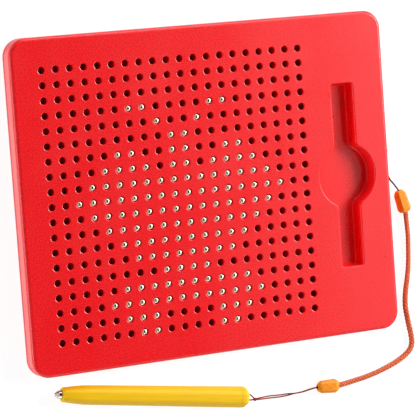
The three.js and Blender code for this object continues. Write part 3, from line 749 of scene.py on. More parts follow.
join(front, recess_form("tub", INNER_WALL - RECESS_RIM, recess_floor - FACE_THICKNESS, inside_face))
levels = [(RECESS_RIM * far, face_height - RECESS_RIM * near)
          for far, near in quarter_round(RECESS_RIM_STEPS)]
foot_inset = RECESS_RIM + RECESS_DRAFT
levels += [(foot_inset, recess_floor + RECESS_FOOT_ROUND)]
levels += [(foot_inset + RECESS_FOOT_INSET * near, recess_floor + RECESS_FOOT_ROUND * (1 - far))
           for far, near in quarter_round(RECESS_FOOT_STEPS)]
inset_before, height_before = 0, face_height + RECESS_CORE_START
core = recess_form("core", 0, height_before, face_height + OVERRUN)
pick_end(core, Z_AXIS, -1)
for inset, height in levels:
    bpy.ops.mesh.extrude_region_move(TRANSFORM_OT_translate={"value": (0, 0, height - height_before)})
    draw_in(core, inset - inset_before)
    inset_before, height_before = inset, height
close(core)
cut(front, core)
print("recess levels:", len(levels), "wall to wall at the face, mm:", round(SLOT_WIDTH / MM, 1))

# %% [markdown]
# The holes come last. One drill is shaped: a rod whose top flares out in a small quarter round,
# so that it leaves a rounded rim. Its foot is wider, as the draft of the mould's pins leaves it, so that
# a raised ball seats in the hole without cutting its edge. Copies at the pitch cut all 380 holes at
# once. With 16 sides, each hole stays at a few dozen faces, and the rim still catches the light.

# %% Front moulding: 380 holes
HOLE_RADIUS = 1.98 * MM
HOLE_FOOT_RADIUS = 2.29 * MM
HOLE_RIM = 0.5 * MM
HOLE_SIDES = 16
HOLE_RIM_STEPS = 2
rim_profile = [(0, HOLE_RADIUS)] + [(HOLE_RIM * far, HOLE_RADIUS + HOLE_RIM * near)
                                    for far, near in quarter_round(HOLE_RIM_STEPS)]

drill = add_upright_rod("drill", HOLE_RADIUS, ball_place(1, 1, 0), face_underside - OVERRUN,
                        face_height - HOLE_RIM, HOLE_SIDES)
pick_end(drill, Z_AXIS, -1)
resize_end(drill, HOLE_FOOT_RADIUS / HOLE_RADIUS, Z_AXIS)
close(drill)
pick_end(drill, Z_AXIS, 1)
extend(drill, steps_along(rim_profile) + [(OVERRUN, 1)], Z_AXIS)
close(drill)
repeat(drill, COLUMNS, (pitch, 0, 0))
repeat(drill, ROWS, (0, -pitch, 0))
cut(front, drill)
shade(front)
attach(front, "board")
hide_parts("front_shell")
print("front moulding:", len(front.data.polygons), "faces")

# %% [markdown]
# The back cover is a shallow lid with softly rounded edges, six sunk screw seats and a lip that
# reaches up into the front moulding. A 0.3 mm seam stays between the two.

# %% Back cover
SEAT_RADIUS = 2.8 * MM
SCREW_HEAD_TOP = 1.9 * MM
LIP_THICKNESS = 1.2 * MM
lip_inset = SIDE_WALL + FIT_GAP
back_skin = shell_low.z - FIT_GAP
back = rounded_slab("back_moulding", 0, cover_low.z, SEAM_HEIGHT)
round_edges(back, lambda edge: is_level_at(edge, cover_low.z), BACK_EDGE_ROUND, EDGE_STEPS)
cut(back, rounded_slab("hollow", SIDE_WALL, back_skin, SEAM_HEIGHT + OVERRUN))
lip = rounded_slab("lip", lip_inset, back_skin / 2, cover_high.z)
cut(lip, rounded_slab("in_lip", lip_inset + LIP_THICKNESS, back_skin, cover_high.z + OVERRUN))
join(back, lip)
for place in screw_places:
    join(back, add_upright_rod("post", POST_RADIUS, place, back_skin / 2, POST_HEIGHT, sides=24))
    cut(back, add_upright_rod("seat", SEAT_RADIUS, place, -OVERRUN, SCREW_HEAD_TOP + FIT_GAP, sides=32))
    cut(back, add_upright_rod("bore", SCREW_BORE_RADIUS, place, 0, POST_HEIGHT + OVERRUN, sides=24))
shade(back)
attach(back, "board")
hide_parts("back_cover")
print("back cover:", len(back.data.polygons), "faces")

# %% [markdown]
# The screws are small pan heads with a cross slot, sunk a little below the back's surface. One is
# made, and six copies of it take the six places, each stopped at another turn, as driven screws are.

# %% Cover screws
SCREW_HEAD_RADIUS = 2.5 * MM
SCREW_SHANK_RADIUS = 1.2 * MM
SCREW_SUNK = 0.4 * MM
DRIVE_LENGTH = 2.9 * MM
DRIVE_WIDTH = 0.7 * MM
DRIVE_DEPTH = 0.9 * MM
SCREW_HEAD_ROUND = 0.7 * MM
SCREW_POINT_ROUND = 0.5 * MM
SHANK_OVERLAP = 0.2 * MM
FIRST_TURN_RADIANS = 0.35
TURN_PER_METRE = 40


def copy_of(pattern, name):
    """A copy that has a mesh of its own."""
    copy = bpy.data.objects.new(name, pattern.data.copy())
    bpy.context.scene.collection.objects.link(copy)
    return copy


def pan_head_screw(name):
    screw = add_upright_rod(name, SCREW_HEAD_RADIUS, (0, 0), SCREW_SUNK, SCREW_HEAD_TOP, sides=32)
    round_edges(screw, lambda edge: is_level_at(edge, SCREW_SUNK), SCREW_HEAD_ROUND, steps=4)
    shank = add_upright_rod("shank", SCREW_SHANK_RADIUS, (0, 0), SCREW_HEAD_TOP - SHANK_OVERLAP, screw_top,
                            sides=20)
    round_edges(shank, lambda edge: is_level_at(edge, screw_top), SCREW_POINT_ROUND, steps=2)
    join(screw, shank)
    for x, y in ((DRIVE_LENGTH / 2, DRIVE_WIDTH / 2), (DRIVE_WIDTH / 2, DRIVE_LENGTH / 2)):
        cut(screw, add_block("slot", (-x, -y, -OVERRUN), (x, y, SCREW_SUNK + DRIVE_DEPTH)))
    return shade(screw)


pattern = pan_head_screw("screw_pattern")
screws = []
for node, place in zip(SCREW_NODES, screw_places):
    screw = copy_of(pattern, node + "_cross_slot")
    screw.location = place
    screw.rotation_euler.z = FIRST_TURN_RADIANS + TURN_PER_METRE * place.x
    screws.append(settle(screw))
    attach(screw, "board")
    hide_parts(node)
bpy.data.objects.remove(pattern)
print("screws:", len(screws))

# %% [markdown]
# 380 steel balls, each a cube whose faces are divided and pushed out to a sphere, because that gives
# evenly spread faces with no pole. The raised ones draw a butterfly. The balls of the middle row
# ride on bodies of their own, so that they can be pushed down and pulled up, and the others are
# joined row by row.

# %% Balls
RAISED_RUNS = {
    4: [(3, 4)], 5: [(2, 2)], 6: [(1, 1)], 7: [(1, 1), (4, 5)], 8: [(1, 1), (3, 6)], 9: [(1, 7)],
    10: [(1, 8)], 11: [(1, 7)], 12: [(1, 6)], 13: [(1, 5)], 14: [(1, 4)], 15: [(1, 2)], 16: [(1, 5)],
    17: [(1, 6)], 18: [(3, 5)], 19: [(3, 4)],
}
BALL_CUTS = 3


def is_raised(row, column):
    """The runs count columns from the middle outwards, and both wings are alike."""
    half = COLUMNS // 2
    from_middle = column - half if column > half else half + 1 - column
    return any(first <= from_middle <= last for first, last in RAISED_RUNS.get(row, []))


def steel_ball():
    bpy.ops.object.select_all(action="DESELECT")
    bpy.ops.mesh.primitive_cube_add(size=BALL_RADIUS)
    ball = bpy.context.object
    pick_all(ball)
    bpy.ops.mesh.subdivide(number_cuts=BALL_CUTS)
    close(ball)
    for vertex in ball.data.vertices:
        vertex.co = vertex.co.normalized() * BALL_RADIUS
    activate(ball)
    bpy.ops.object.shade_smooth()
    return ball


pattern = steel_ball()
balls = []
for row in range(1, ROWS + 1):
    made = []
    for column in range(1, COLUMNS + 1):
        height = raised_height if is_raised(row, column) else lowered_height
        ball = copy_of(pattern, f"steel_ball_r{row:02d}_c{column:02d}")
        ball.data.transform(Matrix.Translation(ball_place(row, column, height)))
        made.append(ball)
    if row == MIDDLE_ROW:
        for column, ball in enumerate(made, 1):
            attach(ball, f"ball_r10_c{column:02d}")
            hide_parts(f"ball_r10_c{column:02d}")
        balls += made
    else:
        activate(made[0])
        for ball in made:
            ball.select_set(True)
        bpy.ops.object.join()
        made[0].name = f"steel_balls_row_{row:02d}"
        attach(made[0], "board")
        balls.append(made[0])
bpy.data.objects.remove(pattern)
print("raised:", sum(is_raised(r, c) for r in range(1, ROWS + 1) for c in range(1, COLUMNS + 1)))

# %% [markdown]
# The pen's barrel is six-sided with soft edges, and a little thinner towards the tip, as a moulding
# with draft is. Over the last 14 mm it draws in more and ends in a rounded shoulder with the steel tip
# in it. A six-sided rod is laid along X, its long edges are rounded, its far end is made smaller, and
# that end face is carried on in short steps that get smaller still.

# %% Pen barrel
PEN_RADIUS = 6.7 * MM
PEN_FRONT_RADIUS = 6 * MM
PEN_NOSE_RADIUS = 4.45 * MM
PEN_CAP_END_RADIUS = 3.4 * MM
PEN_LENGTH = 122.2 * MM
PEN_EDGE_ROUND = 1.7 * MM
PEN_CAP_LENGTH = 5.4 * MM
PEN_CAP_DOME = 3.4 * MM
PEN_CAP_GAP = 0.12 * MM
PEN_TIP_LENGTH = 4.8 * MM
PEN_TAPER_LENGTH = 14 * MM
PEN_BORE_RADIUS = 3.25 * MM
PEN_MOUTH_RADIUS = 2.75 * MM
PEN_MOUTH_DEPTH = 5.5 * MM
TAPER_STEPS = 10
TAPER_EVEN_SHARE = 0.68
TAPER_LENGTH_SHARE = 0.96
SHOULDER_STEPS = [(0.028 * PEN_TAPER_LENGTH, 0.95), (0.012 * PEN_TAPER_LENGTH, 0.92)]
BARREL_END_ROUND = 0.12 * MM
SQUARE_RADIANS = 1.2
barrel_end = PEN_LENGTH - PEN_TIP_LENGTH
taper_start = barrel_end - PEN_TAPER_LENGTH


def place_on_pen(piece):
    piece.rotation_euler = (0, PEN_TILT, PEN_TURN)
    piece.location = pen_tail
    settle(piece)
    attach(piece, "pen")
    return piece


def six_sided(name, start, end):
    """A six-sided rod along X with soft long edges. It already lies on one of its flats."""
    rod = add_rod(name, PEN_RADIUS, (start, 0, 0), (end, 0, 0), sides=6)
    round_edges(rod, lambda edge: is_along(edge, X_AXIS), PEN_EDGE_ROUND, steps=4)
    return rod


def taper_point(share):
    """How far along the taper, and how thick the pen is there: it draws in faster and faster."""
    drawn_in = TAPER_EVEN_SHARE * share + (1 - TAPER_EVEN_SHARE) * share ** 2
    return (TAPER_LENGTH_SHARE * PEN_TAPER_LENGTH * share,
            PEN_FRONT_RADIUS - (PEN_FRONT_RADIUS - PEN_NOSE_RADIUS) * drawn_in)


def is_outer_end(edge):
    """The edges of the end face at the cap, away from the bore."""
    return edge.calc_face_angle(0) > SQUARE_RADIANS and all(
        vertex.co.x < taper_start and vertex.co.yz.length > PEN_BORE_RADIUS + OVERRUN
        for vertex in edge.verts)


barrel = six_sided("pen_barrel_moulded", PEN_CAP_LENGTH + PEN_CAP_GAP, taper_start)
pick_end(barrel, X_AXIS, 1)
resize_end(barrel, PEN_FRONT_RADIUS / PEN_RADIUS)
extend(barrel, steps_along([taper_point(i / TAPER_STEPS) for i in range(TAPER_STEPS + 1)]) + SHOULDER_STEPS)
close(barrel)
cut(barrel, add_rod("bore", PEN_BORE_RADIUS, (0, 0, 0), (barrel_end - PEN_MOUTH_DEPTH, 0, 0), sides=32))
cut(barrel, add_rod("mouth", PEN_MOUTH_RADIUS, (barrel_end - PEN_MOUTH_DEPTH - OVERRUN, 0, 0),
                    (barrel_end + OVERRUN, 0, 0), sides=32))
round_edges(barrel, is_outer_end, BARREL_END_ROUND, steps=2)
shade(place_on_pen(barrel))
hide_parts("pen_barrel")
print("pen barrel:", len(barrel.data.polygons), "faces")

# %% [markdown]
# The tail cap carries the barrel's six sides on and closes them in a low dome. A round pocket in
# its end has a bridge across it, and the lanyard's string is looped behind the bridge.

# %% Pen tail cap
CAP_POCKET_RADIUS = 2.2 * MM
CAP_POCKET_DEPTH = 3.6 * MM
CAP_SPIGOT_RADIUS = 2.95 * MM
CAP_SPIGOT_LENGTH = 6 * MM
BRIDGE_WIDTH = 1.4 * MM
BRIDGE_THICKNESS = 1.2 * MM
BRIDGE_SUNK = 0.8 * MM
BRIDGE_ROUND = 0.35 * MM
DOME_STEPS = 8
dome_profile = [(PEN_CAP_DOME, PEN_RADIUS)] + [
    (PEN_CAP_DOME * (1 - far), PEN_RADIUS - (PEN_RADIUS - PEN_CAP_END_RADIUS) * near)
    for far, near in quarter_round(DOME_STEPS)]

cap = six_sided("pen_tail_cap_moulded", PEN_CAP_DOME, PEN_CAP_LENGTH)
pick_end(cap, X_AXIS, -1)
extend(cap, steps_along(dome_profile))
close(cap)
join(cap, add_rod("spigot", CAP_SPIGOT_RADIUS, (PEN_CAP_LENGTH / 2, 0, 0),
                  (PEN_CAP_LENGTH + CAP_SPIGOT_LENGTH, 0, 0), sides=32))
cut(cap, add_rod("pocket", CAP_POCKET_RADIUS, (-OVERRUN, 0, 0), (CAP_POCKET_DEPTH, 0, 0), sides=32))
bridge = add_block("bridge", (BRIDGE_SUNK, -BRIDGE_WIDTH / 2, -CAP_POCKET_RADIUS - FIT_GAP),
                   (BRIDGE_SUNK + BRIDGE_THICKNESS, BRIDGE_WIDTH / 2, CAP_POCKET_RADIUS + FIT_GAP))
round_edges(bridge, lambda edge: is_along(edge, Z_AXIS), BRIDGE_ROUND, steps=3)
join(cap, bridge)
shade(place_on_pen(cap))
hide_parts("pen_tail_cap")
print("tail cap:", len(cap.data.polygons), "faces")

# %% [markdown]
# The tip is a turned steel point: a short neck, a cone and a rounded end. It touches the magnet
# inside the barrel and leads its pull to one ball at a time.

# %% Pen tip
TIP_RADIUS = 2.45 * MM
TIP_POINT_RADIUS = 0.75 * MM
TIP_NECK = 1.9 * MM
TIP_CONE = PEN_TIP_LENGTH - TIP_NECK - 0.8 * TIP_POINT_RADIUS
TIP_FLANGE_RADIUS = 2.95 * MM
TIP_FLANGE_LENGTH = 2.4 * MM
cone_steps = [(0.1 * TIP_CONE, 0.97), (0.4 * TIP_CONE, 0.72), (0.5 * TIP_CONE, 0.46)]
point_steps = [(0.27 * TIP_POINT_RADIUS, share) for share in (0.86, 0.66, 0.3)]
tip_start = barrel_end - PEN_MOUTH_DEPTH - FIT_GAP

tip = add_rod("pen_tip_turned", TIP_RADIUS, (tip_start, 0, 0), (barrel_end + TIP_NECK, 0, 0), sides=40)
pick_end(tip, X_AXIS, 1)
extend(tip, cone_steps + point_steps)
close(tip)
join(tip, add_rod("flange", TIP_FLANGE_RADIUS, (tip_start - TIP_FLANGE_LENGTH, 0, 0), (tip_start, 0, 0),
                  sides=40))
shade(place_on_pen(tip))
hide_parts("pen_tip")
print("pen tip:", len(tip.data.polygons), "faces")

# %% [markdown]
# Now the finishes. Colours are written as they are seen on a screen and turned into linear values by
# one function, and one more adds a shader node with its options, values, links and colour stops.
# Pattern sizes are real sizes: a scale of 1.25 / MM puts 1.25 grains on each millimetre.

# %% Colour and node helpers
def linear(seen):
    parts = [int(seen[i:i + 2], 16) / 255 for i in (1, 3, 5)]
    return (*[c / 12.92 if c <= 0.04045 else ((c + 0.055) / 1.055) ** 2.4 for c in parts], 1)


def add_node(material, kind, values=None, links=None, stops=None, **options):
    tree = material.node_tree
    node = tree.nodes.new(kind)
    for name, value in options.items():
        setattr(node, name, value)
    for socket, value in (values or {}).items():
        node.inputs[socket].default_value = value
    for socket, source in (links or {}).items():
        tree.links.new(source, node.inputs[socket])
    if stops:
        for element, (position, colour) in zip(node.color_ramp.elements, stops):
            element.position = position
            element.color = linear(colour)
    return node


def new_finish(name, values):
    """A material with its one shader, whose even values are set straight on its own sockets."""
    material = bpy.data.materials.new(name)
    material.use_nodes = True
    shader = material.node_tree.nodes["Principled BSDF"]
    for socket, value in values.items():
        shader.inputs[socket].default_value = value
    return material, shader.inputs, material.node_tree.links.new


def dress(pieces, material):
    for piece in pieces:
        piece.data.materials.clear()
        piece.data.materials.append(material)


print("helpers ready: colour and nodes")

# %% [markdown]
# The red case is ABS moulded in a tool whose steel was spark-eroded. That leaves a fine pebbled
# grain, under a millimetre across, which breaks the light up into a soft, slightly sparkling sheen.
# Handling polishes the grain a little in wide patches, so the roughness drifts slowly over the face.

# %% Red ABS, spark-eroded grain
red_abs, inputs, link = new_finish("red_abs_spark_textured", {"IOR": 1.5, "Specular IOR Level": 0.35})
place = add_node(red_abs, "ShaderNodeTexCoord").outputs["Object"]
grain = add_node(red_abs, "ShaderNodeTexNoise", {"Scale": 1.25 / MM, "Detail": 2, "Roughness": 0.65},
                 {"Vector": place}).outputs["Fac"]
fine_grain = add_node(red_abs, "ShaderNodeTexNoise", {"Scale": 3.4 / MM, "Detail": 1},
                      {"Vector": place}).outputs["Fac"]
polish = add_node(red_abs, "ShaderNodeTexNoise", {"Scale": 0.032 / MM, "Detail": 3},
                  {"Vector": place}).outputs["Fac"]
link(add_node(red_abs, "ShaderNodeValToRGB", links={"Fac": grain},
              stops=[(0.43, "#e4080f"), (0.57, "#ff1a22")]).outputs["Color"], inputs["Base Color"])
link(add_node(red_abs, "ShaderNodeMapRange",
              {"From Min": 0.3, "From Max": 0.7, "To Min": 0.27, "To Max": 0.34},
              {"Value": polish}).outputs["Result"], inputs["Roughness"])
fine_bump = add_node(red_abs, "ShaderNodeBump", {"Strength": 1, "Distance": 0.006 * MM},
                     {"Height": fine_grain})
link(add_node(red_abs, "ShaderNodeBump", {"Strength": 1, "Distance": 0.1 * MM},
              {"Height": grain, "Normal": fine_bump.outputs["Normal"]}).outputs["Normal"], inputs["Normal"])
dress([front, back, bpy.data.objects["ball_tray"]], red_abs)
print("dressed in red:", front.name, back.name, "ball_tray")

# %% [markdown]
# The balls are ground and tumbled bearing steel, not polished like mirrors. The surroundings show in
# them softly, in the slightly warm grey of hardened steel, and tiny tumbling dents break the reflection.

# %% Bearing steel, tumbled
ball_steel, inputs, link = new_finish("bearing_steel_tumbled", {
    "Metallic": 1, "Base Color": linear("#c3b8a2")})
place = add_node(ball_steel, "ShaderNodeTexCoord").outputs["Object"]
dents = add_node(ball_steel, "ShaderNodeTexNoise", {"Scale": 0.9 / MM, "Detail": 3},
                 {"Vector": place}).outputs["Fac"]
link(add_node(ball_steel, "ShaderNodeMapRange",
              {"From Min": 0.3, "From Max": 0.7, "To Min": 0.14, "To Max": 0.26},
              {"Value": dents}).outputs["Result"], inputs["Roughness"])
link(add_node(ball_steel, "ShaderNodeBump", {"Strength": 1, "Distance": 0.006 * MM},
              {"Height": dents}).outputs["Normal"], inputs["Normal"])
dress(balls, ball_steel)
print("dressed in bearing steel:", len(balls), "pieces")

# %% [markdown]
# The pen is yellow ABS from a satin tool. It is smoother than the case, so its flats show the light
# as broad even bands. The melt flowed along the pen, and faint flow lines run the same way.

# %% Yellow ABS, satin
yellow_abs, inputs, link = new_finish("yellow_abs_satin", {"IOR": 1.5, "Specular IOR Level": 0.2})
place = add_node(yellow_abs, "ShaderNodeTexCoord").outputs["Object"]
along_pen = add_node(yellow_abs, "ShaderNodeMapping",
                     {"Rotation": (0, 0, PEN_TURN), "Scale": (MM / 0.06, MM / 0.9, MM / 0.9)},
                     {"Vector": place}, vector_type="TEXTURE").outputs["Vector"]
flow = add_node(yellow_abs, "ShaderNodeTexNoise", {"Scale": 1, "Detail": 3},
                {"Vector": along_pen}).outputs["Fac"]
satin = add_node(yellow_abs, "ShaderNodeTexNoise", {"Scale": 1.9 / MM, "Detail": 2},
                 {"Vector": place}).outputs["Fac"]
link(add_node(yellow_abs, "ShaderNodeValToRGB", links={"Fac": flow},
              stops=[(0.3, "#f0bc06"), (0.7, "#f9c80a")]).outputs["Color"], inputs["Base Color"])
link(add_node(yellow_abs, "ShaderNodeMapRange",
              {"From Min": 0.3, "From Max": 0.7, "To Min": 0.42, "To Max": 0.52},
              {"Value": flow}).outputs["Result"], inputs["Roughness"])
link(add_node(yellow_abs, "ShaderNodeBump", {"Strength": 1, "Distance": 0.012 * MM},
              {"Height": satin}).outputs["Normal"], inputs["Normal"])
dress([barrel, cap], yellow_abs)
print("dressed in yellow:", barrel.name, cap.name)

# %% [markdown]
# The clips are orange polypropylene, a waxy plastic. Light goes a little way into it, which softens
# the shade from face to face, and a few scuffs dull it.

# %% Orange polypropylene, moulded
orange_plastic, inputs, link = new_finish("orange_polypropylene_moulded", {
    "IOR": 1.49, "Specular IOR Level": 0.25, "Subsurface Weight": 0.15,
    "Subsurface Radius": (1.2, 0.5, 0.2), "Subsurface Scale": 0.8 * MM})
place = add_node(orange_plastic, "ShaderNodeTexCoord").outputs["Object"]
scuffs = add_node(orange_plastic, "ShaderNodeTexNoise", {"Scale": 0.7 / MM, "Detail": 4, "Distortion": 0.6},
                  {"Vector": place}).outputs["Fac"]
link(add_node(orange_plastic, "ShaderNodeValToRGB", links={"Fac": scuffs},
              stops=[(0.35, "#f28a0a"), (0.65, "#fb9e14")]).outputs["Color"], inputs["Base Color"])
link(add_node(orange_plastic, "ShaderNodeMapRange",
              {"From Min": 0.3, "From Max": 0.7, "To Min": 0.34, "To Max": 0.52},
              {"Value": scuffs}).outputs["Result"], inputs["Roughness"])
link(add_node(orange_plastic, "ShaderNodeBump", {"Strength": 1, "Distance": 0.01 * MM},
              {"Height": scuffs}).outputs["Normal"], inputs["Normal"])
dress([board_clip, pen_clip], orange_plastic)
print("dressed in orange:", board_clip.name, pen_clip.name)

# %% [markdown]
# The strap is braided from dyed polyester. Fibre lines run along every strand, which the strand map
# made with the tubes gives, and the dye's tone varies from fibre to fibre.

# %% Polyester, braided and dyed
FIBRES_ROUND_STRAND = 26
braid, inputs, link = new_finish("polyester_braided_dyed", {"Roughness": 0.7, "Specular IOR Level": 0.3})
strand = add_node(braid, "ShaderNodeUVMap", uv_map="along_strand").outputs["UV"]
along_strand = add_node(braid, "ShaderNodeMapping", {"Scale": (FIBRES_ROUND_STRAND, 0.9 / MM, 1)},
                        {"Vector": strand}).outputs["Vector"]
fibres = add_node(braid, "ShaderNodeTexNoise", {"Scale": 1, "Detail": 3},
                  {"Vector": along_strand}).outputs["Fac"]
link(add_node(braid, "ShaderNodeValToRGB", links={"Fac": fibres},
              stops=[(0.3, "#b43e16"), (0.68, "#f88450")]).outputs["Color"], inputs["Base Color"])
link(add_node(braid, "ShaderNodeBump", {"Strength": 1, "Distance": 0.05 * MM},
              {"Height": fibres}).outputs["Normal"], inputs["Normal"])
dress([strap], braid)
print("dressed in braid:", strap.name)

# %% [markdown]
# The strings are waxed cotton, twisted. The wax lays the fibres flat, so they show as fine lines along
# the thread with hardly any shine. The thread at the board is browned, and the one at the pen is red.

# %% Cotton thread, twisted and waxed
FIBRES_ROUND_PLY = 14


def waxed_thread(name, shade_colour, light_colour):
    thread, inputs, link = new_finish(name, {"Roughness": 0.7, "Specular IOR Level": 0.12})
    ply = add_node(thread, "ShaderNodeUVMap", uv_map="along_strand").outputs["UV"]
    along_ply = add_node(thread, "ShaderNodeMapping", {"Scale": (FIBRES_ROUND_PLY, 1.4 / MM, 1)},
                         {"Vector": ply}).outputs["Vector"]
    fibres = add_node(thread, "ShaderNodeTexNoise", {"Scale": 1, "Detail": 3},
                      {"Vector": along_ply}).outputs["Fac"]
    link(add_node(thread, "ShaderNodeValToRGB", links={"Fac": fibres},
                  stops=[(0.3, shade_colour), (0.7, light_colour)]).outputs["Color"], inputs["Base Color"])
    link(add_node(thread, "ShaderNodeBump", {"Strength": 1, "Distance": 0.04 * MM},
                  {"Height": fibres}).outputs["Normal"], inputs["Normal"])
    return thread


dress([board_string, stop_knot],
      waxed_thread("cotton_thread_waxed_browned", "#2a0c08", "#5a1e14"))
dress([upper_strand, lower_strand, pen_knot, pen_loop],
      waxed_thread("cotton_thread_waxed_red", "#741606", "#b83212"))
print("dressed in thread: 6 pieces")

# %% [markdown]
# The tip is turned steel. The tool leaves fine rings round the point, so the bump pattern follows the
# distance along the pen. The screws are zinc plated, with the plating's faint crystalline blotches, and
# the magnet inside the barrel is nickel plated.

# %% Turned steel
turned_steel, inputs, link = new_finish("steel_turned_polished", {
    "Metallic": 1, "Base Color": linear("#cfcbc2")})
place = add_node(turned_steel, "ShaderNodeTexCoord").outputs["Object"]
along_pen = add_node(turned_steel, "ShaderNodeMapping",
                     {"Rotation": (0, 0, PEN_TURN), "Scale": (MM / 5.2, MM / 0.06, MM / 0.06)},
                     {"Vector": place}, vector_type="TEXTURE").outputs["Vector"]
rings = add_node(turned_steel, "ShaderNodeTexNoise", {"Scale": 1, "Detail": 2},
                 {"Vector": along_pen}).outputs["Fac"]
link(add_node(turned_steel, "ShaderNodeMapRange", {"To Min": 0.05, "To Max": 0.16},
              {"Value": rings}).outputs["Result"], inputs["Roughness"])
link(add_node(turned_steel, "ShaderNodeBump", {"Strength": 1, "Distance": 0.004 * MM},
              {"Height": rings}).outputs["Normal"], inputs["Normal"])
dress([tip], turned_steel)
print("dressed in turned steel:", tip.name)

# %% Zinc plate
zinc_plate, inputs, link = new_finish("zinc_plate_bright", {"Metallic": 1})
place = add_node(zinc_plate, "ShaderNodeTexCoord").outputs["Object"]
blotches = add_node(zinc_plate, "ShaderNodeTexVoronoi", {"Scale": 1.6 / MM},
                    {"Vector": place}).outputs["Distance"]
link(add_node(zinc_plate, "ShaderNodeValToRGB", links={"Fac": blotches},
              stops=[(0, "#a9adb2"), (1, "#c9cbcc")]).outputs["Color"], inputs["Base Color"])
link(add_node(zinc_plate, "ShaderNodeMapRange", {"To Min": 0.25, "To Max": 0.45},
              {"Value": blotches}).outputs["Result"], inputs["Roughness"])
dress(screws, zinc_plate)
print("dressed in zinc plate:", len(screws), "screws")

# %% Nickel plate
nickel_plate, inputs, link = new_finish("nickel_plate_barrel_tumbled", {
    "Metallic": 1, "Base Color": linear("#c6c1b8")})
place = add_node(nickel_plate, "ShaderNodeTexCoord").outputs["Object"]
marks = add_node(nickel_plate, "ShaderNodeTexNoise", {"Scale": 1.1 / MM, "Detail": 3},
                 {"Vector": place}).outputs["Fac"]
link(add_node(nickel_plate, "ShaderNodeMapRange", {"To Min": 0.15, "To Max": 0.35},
              {"Value": marks}).outputs["Result"], inputs["Roughness"])
dress([bpy.data.objects["pen_magnet"]], nickel_plate)
print("finishes:", sorted(m.name for m in bpy.data.materials if m.users))

# %% [markdown]
# The table is a plain white sheet. To the camera and in reflections a share of its white is its own, so
# only a faint soft shadow shows beside the board. For the light it sends back onto the walls of the
# board and under the pen it is plain white paper. Seen from below it is clear, to show the underside.

# %% Table
TABLE_SIZE = 8
TABLE_GAP = 0.5 * MM
TABLE_OWN_WHITE = 0.8
TABLE_GLOW = 1.15
PAPER_WHITE = (0.85, 0.85, 0.85, 1)


def seen_rays(material_or_world):
    """1 for the rays that show a thing to the camera, in a reflection or through something clear."""
    path = add_node(material_or_world, "ShaderNodeLightPath").outputs
    seen = add_node(material_or_world, "ShaderNodeMath", operation="MAXIMUM",
                    links={0: path["Is Camera Ray"], 1: path["Is Glossy Ray"]}).outputs["Value"]
    return add_node(material_or_world, "ShaderNodeMath", operation="MAXIMUM",
                    links={0: seen, 1: path["Is Transmission Ray"]}).outputs["Value"]


bpy.ops.mesh.primitive_plane_add(size=TABLE_SIZE, location=(0, 0, -TABLE_GAP))
table = settle(bpy.context.object)
table.name = "table"
sheet = bpy.data.materials.new("paper_sheet_white")
sheet.use_nodes = True
sheet.node_tree.nodes.clear()
matt = add_node(sheet, "ShaderNodeBsdfDiffuse", {"Color": PAPER_WHITE}).outputs["BSDF"]
bright = add_node(sheet, "ShaderNodeEmission", {"Strength": TABLE_GLOW}).outputs["Emission"]
own = add_node(sheet, "ShaderNodeMath", {1: TABLE_OWN_WHITE}, {0: seen_rays(sheet)},
               operation="MULTIPLY").outputs["Value"]
lit = add_node(sheet, "ShaderNodeMixShader", links={"Fac": own, 1: matt, 2: bright}).outputs["Shader"]
clear = add_node(sheet, "ShaderNodeBsdfTransparent").outputs["BSDF"]
behind = add_node(sheet, "ShaderNodeNewGeometry").outputs["Backfacing"]
both = add_node(sheet, "ShaderNodeMixShader", links={"Fac": behind, 1: lit, 2: clear}).outputs["Shader"]
add_node(sheet, "ShaderNodeOutputMaterial", links={"Surface": both})
table.data.materials.append(sheet)
print("table ready, own share of its white:", TABLE_OWN_WHITE)

# %% [markdown]
# Light: a soft window on the right, whose shadow lies in the recess along its right wall. Three low
# windows light what faces aside: one behind the board's top edge, a weak one in front for the pen's
# lower side, and one on the left for the side wall, too low to shine down into the recess. The room is
# white to the camera and in the steel, and fills the shade a little.
# Cards are seen only in reflections, where a photographer would hold them. A dark one above the board
# keeps the red deep on the left, and a dark one beside it keeps the right edge and the clips clear. A
# white one on the right lays a haze over that side, and two more brighten the left wall and top edge.

# %% Windows
def add_window(name, place, size, power):
    """A lamp of some width and height in metres that faces the board, with its power in watts."""
    lamp = bpy.data.lights.new(name, "AREA")
    lamp.shape = "RECTANGLE"
    lamp.size, lamp.size_y = size
    lamp.energy = power
    window = bpy.data.objects.new(name, lamp)
    bpy.context.scene.collection.objects.link(window)
    window.location = place
    window.rotation_euler = (-place).to_track_quat("-Z", "Y").to_euler()


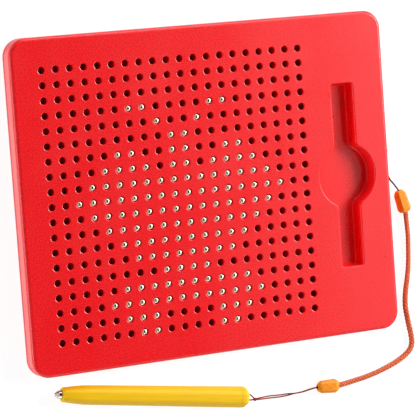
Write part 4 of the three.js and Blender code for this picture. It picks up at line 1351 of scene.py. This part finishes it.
add_window("window_right", Vector((0.84, 0.19, 0.5)) * 2.4, size=(0.9, 0.9), power=72)
add_window("window_behind", Vector((0.42, 0.85, 0.32)) * 1.4, size=(0.9, 0.5), power=9)
add_window("window_front", Vector((0.05, -0.93, 0.36)) * 1.3, size=(0.9, 0.3), power=4)
add_window("window_left", Vector((-0.98, -0.1, 0.17)) * 1.3, size=(0.9, 0.25), power=9)

# %% Cards
CARD_ON_TABLE = -0.3 * MM


def add_card(name, place, size, brightness):
    """A sheet that only reflections show. One on the table lies flat, and a raised one faces the board."""
    bpy.ops.mesh.primitive_plane_add(size=1)
    card = bpy.context.object
    card.name = name
    card.scale = (*size, 1)
    card.location = place
    if place.z > 0:
        card.rotation_euler = place.to_track_quat("Z", "Y").to_euler()
    settle(card)
    material = bpy.data.materials.new(name)
    material.use_nodes = True
    material.node_tree.nodes.clear()
    glow = add_node(material, "ShaderNodeEmission", {"Strength": brightness}).outputs["Emission"]
    add_node(material, "ShaderNodeOutputMaterial", links={"Surface": glow})
    card.data.materials.append(material)
    card.visible_camera = card.visible_diffuse = card.visible_shadow = card.visible_transmission = False


add_card("dark_card", Vector((0.3, 0.02, 0.95)) * 1.5, size=(1.7, 1.7), brightness=0.02)
add_card("dark_card_right", Vector((0.24, 0.017, CARD_ON_TABLE)), size=(0.238, 0.4), brightness=0.02)
add_card("white_card_right", Vector((0.35, 0, 0.27)), size=(0.9, 0.2), brightness=2.9)
add_card("white_card_left", Vector((-0.29, 0.017, CARD_ON_TABLE)), size=(0.34, 0.5), brightness=2.6)
add_card("white_card_behind", Vector((0.34, 0.68, 0.2)), size=(0.9, 0.3), brightness=4)

# %% Room
ROOM_FILL = 0.12
room = bpy.data.worlds.new("white_room")
room.use_nodes = True
bpy.context.scene.world = room
room.node_tree.nodes.clear()
level = add_node(room, "ShaderNodeMapRange", {"To Min": ROOM_FILL, "To Max": 1},
                 {"Value": seen_rays(room)}).outputs["Result"]
white = add_node(room, "ShaderNodeBackground", links={"Strength": level}).outputs["Background"]
add_node(room, "ShaderNodeOutputWorld", links={"Surface": white})
bpy.context.scene.view_settings.view_transform = "Standard"
print("room:", room.name)
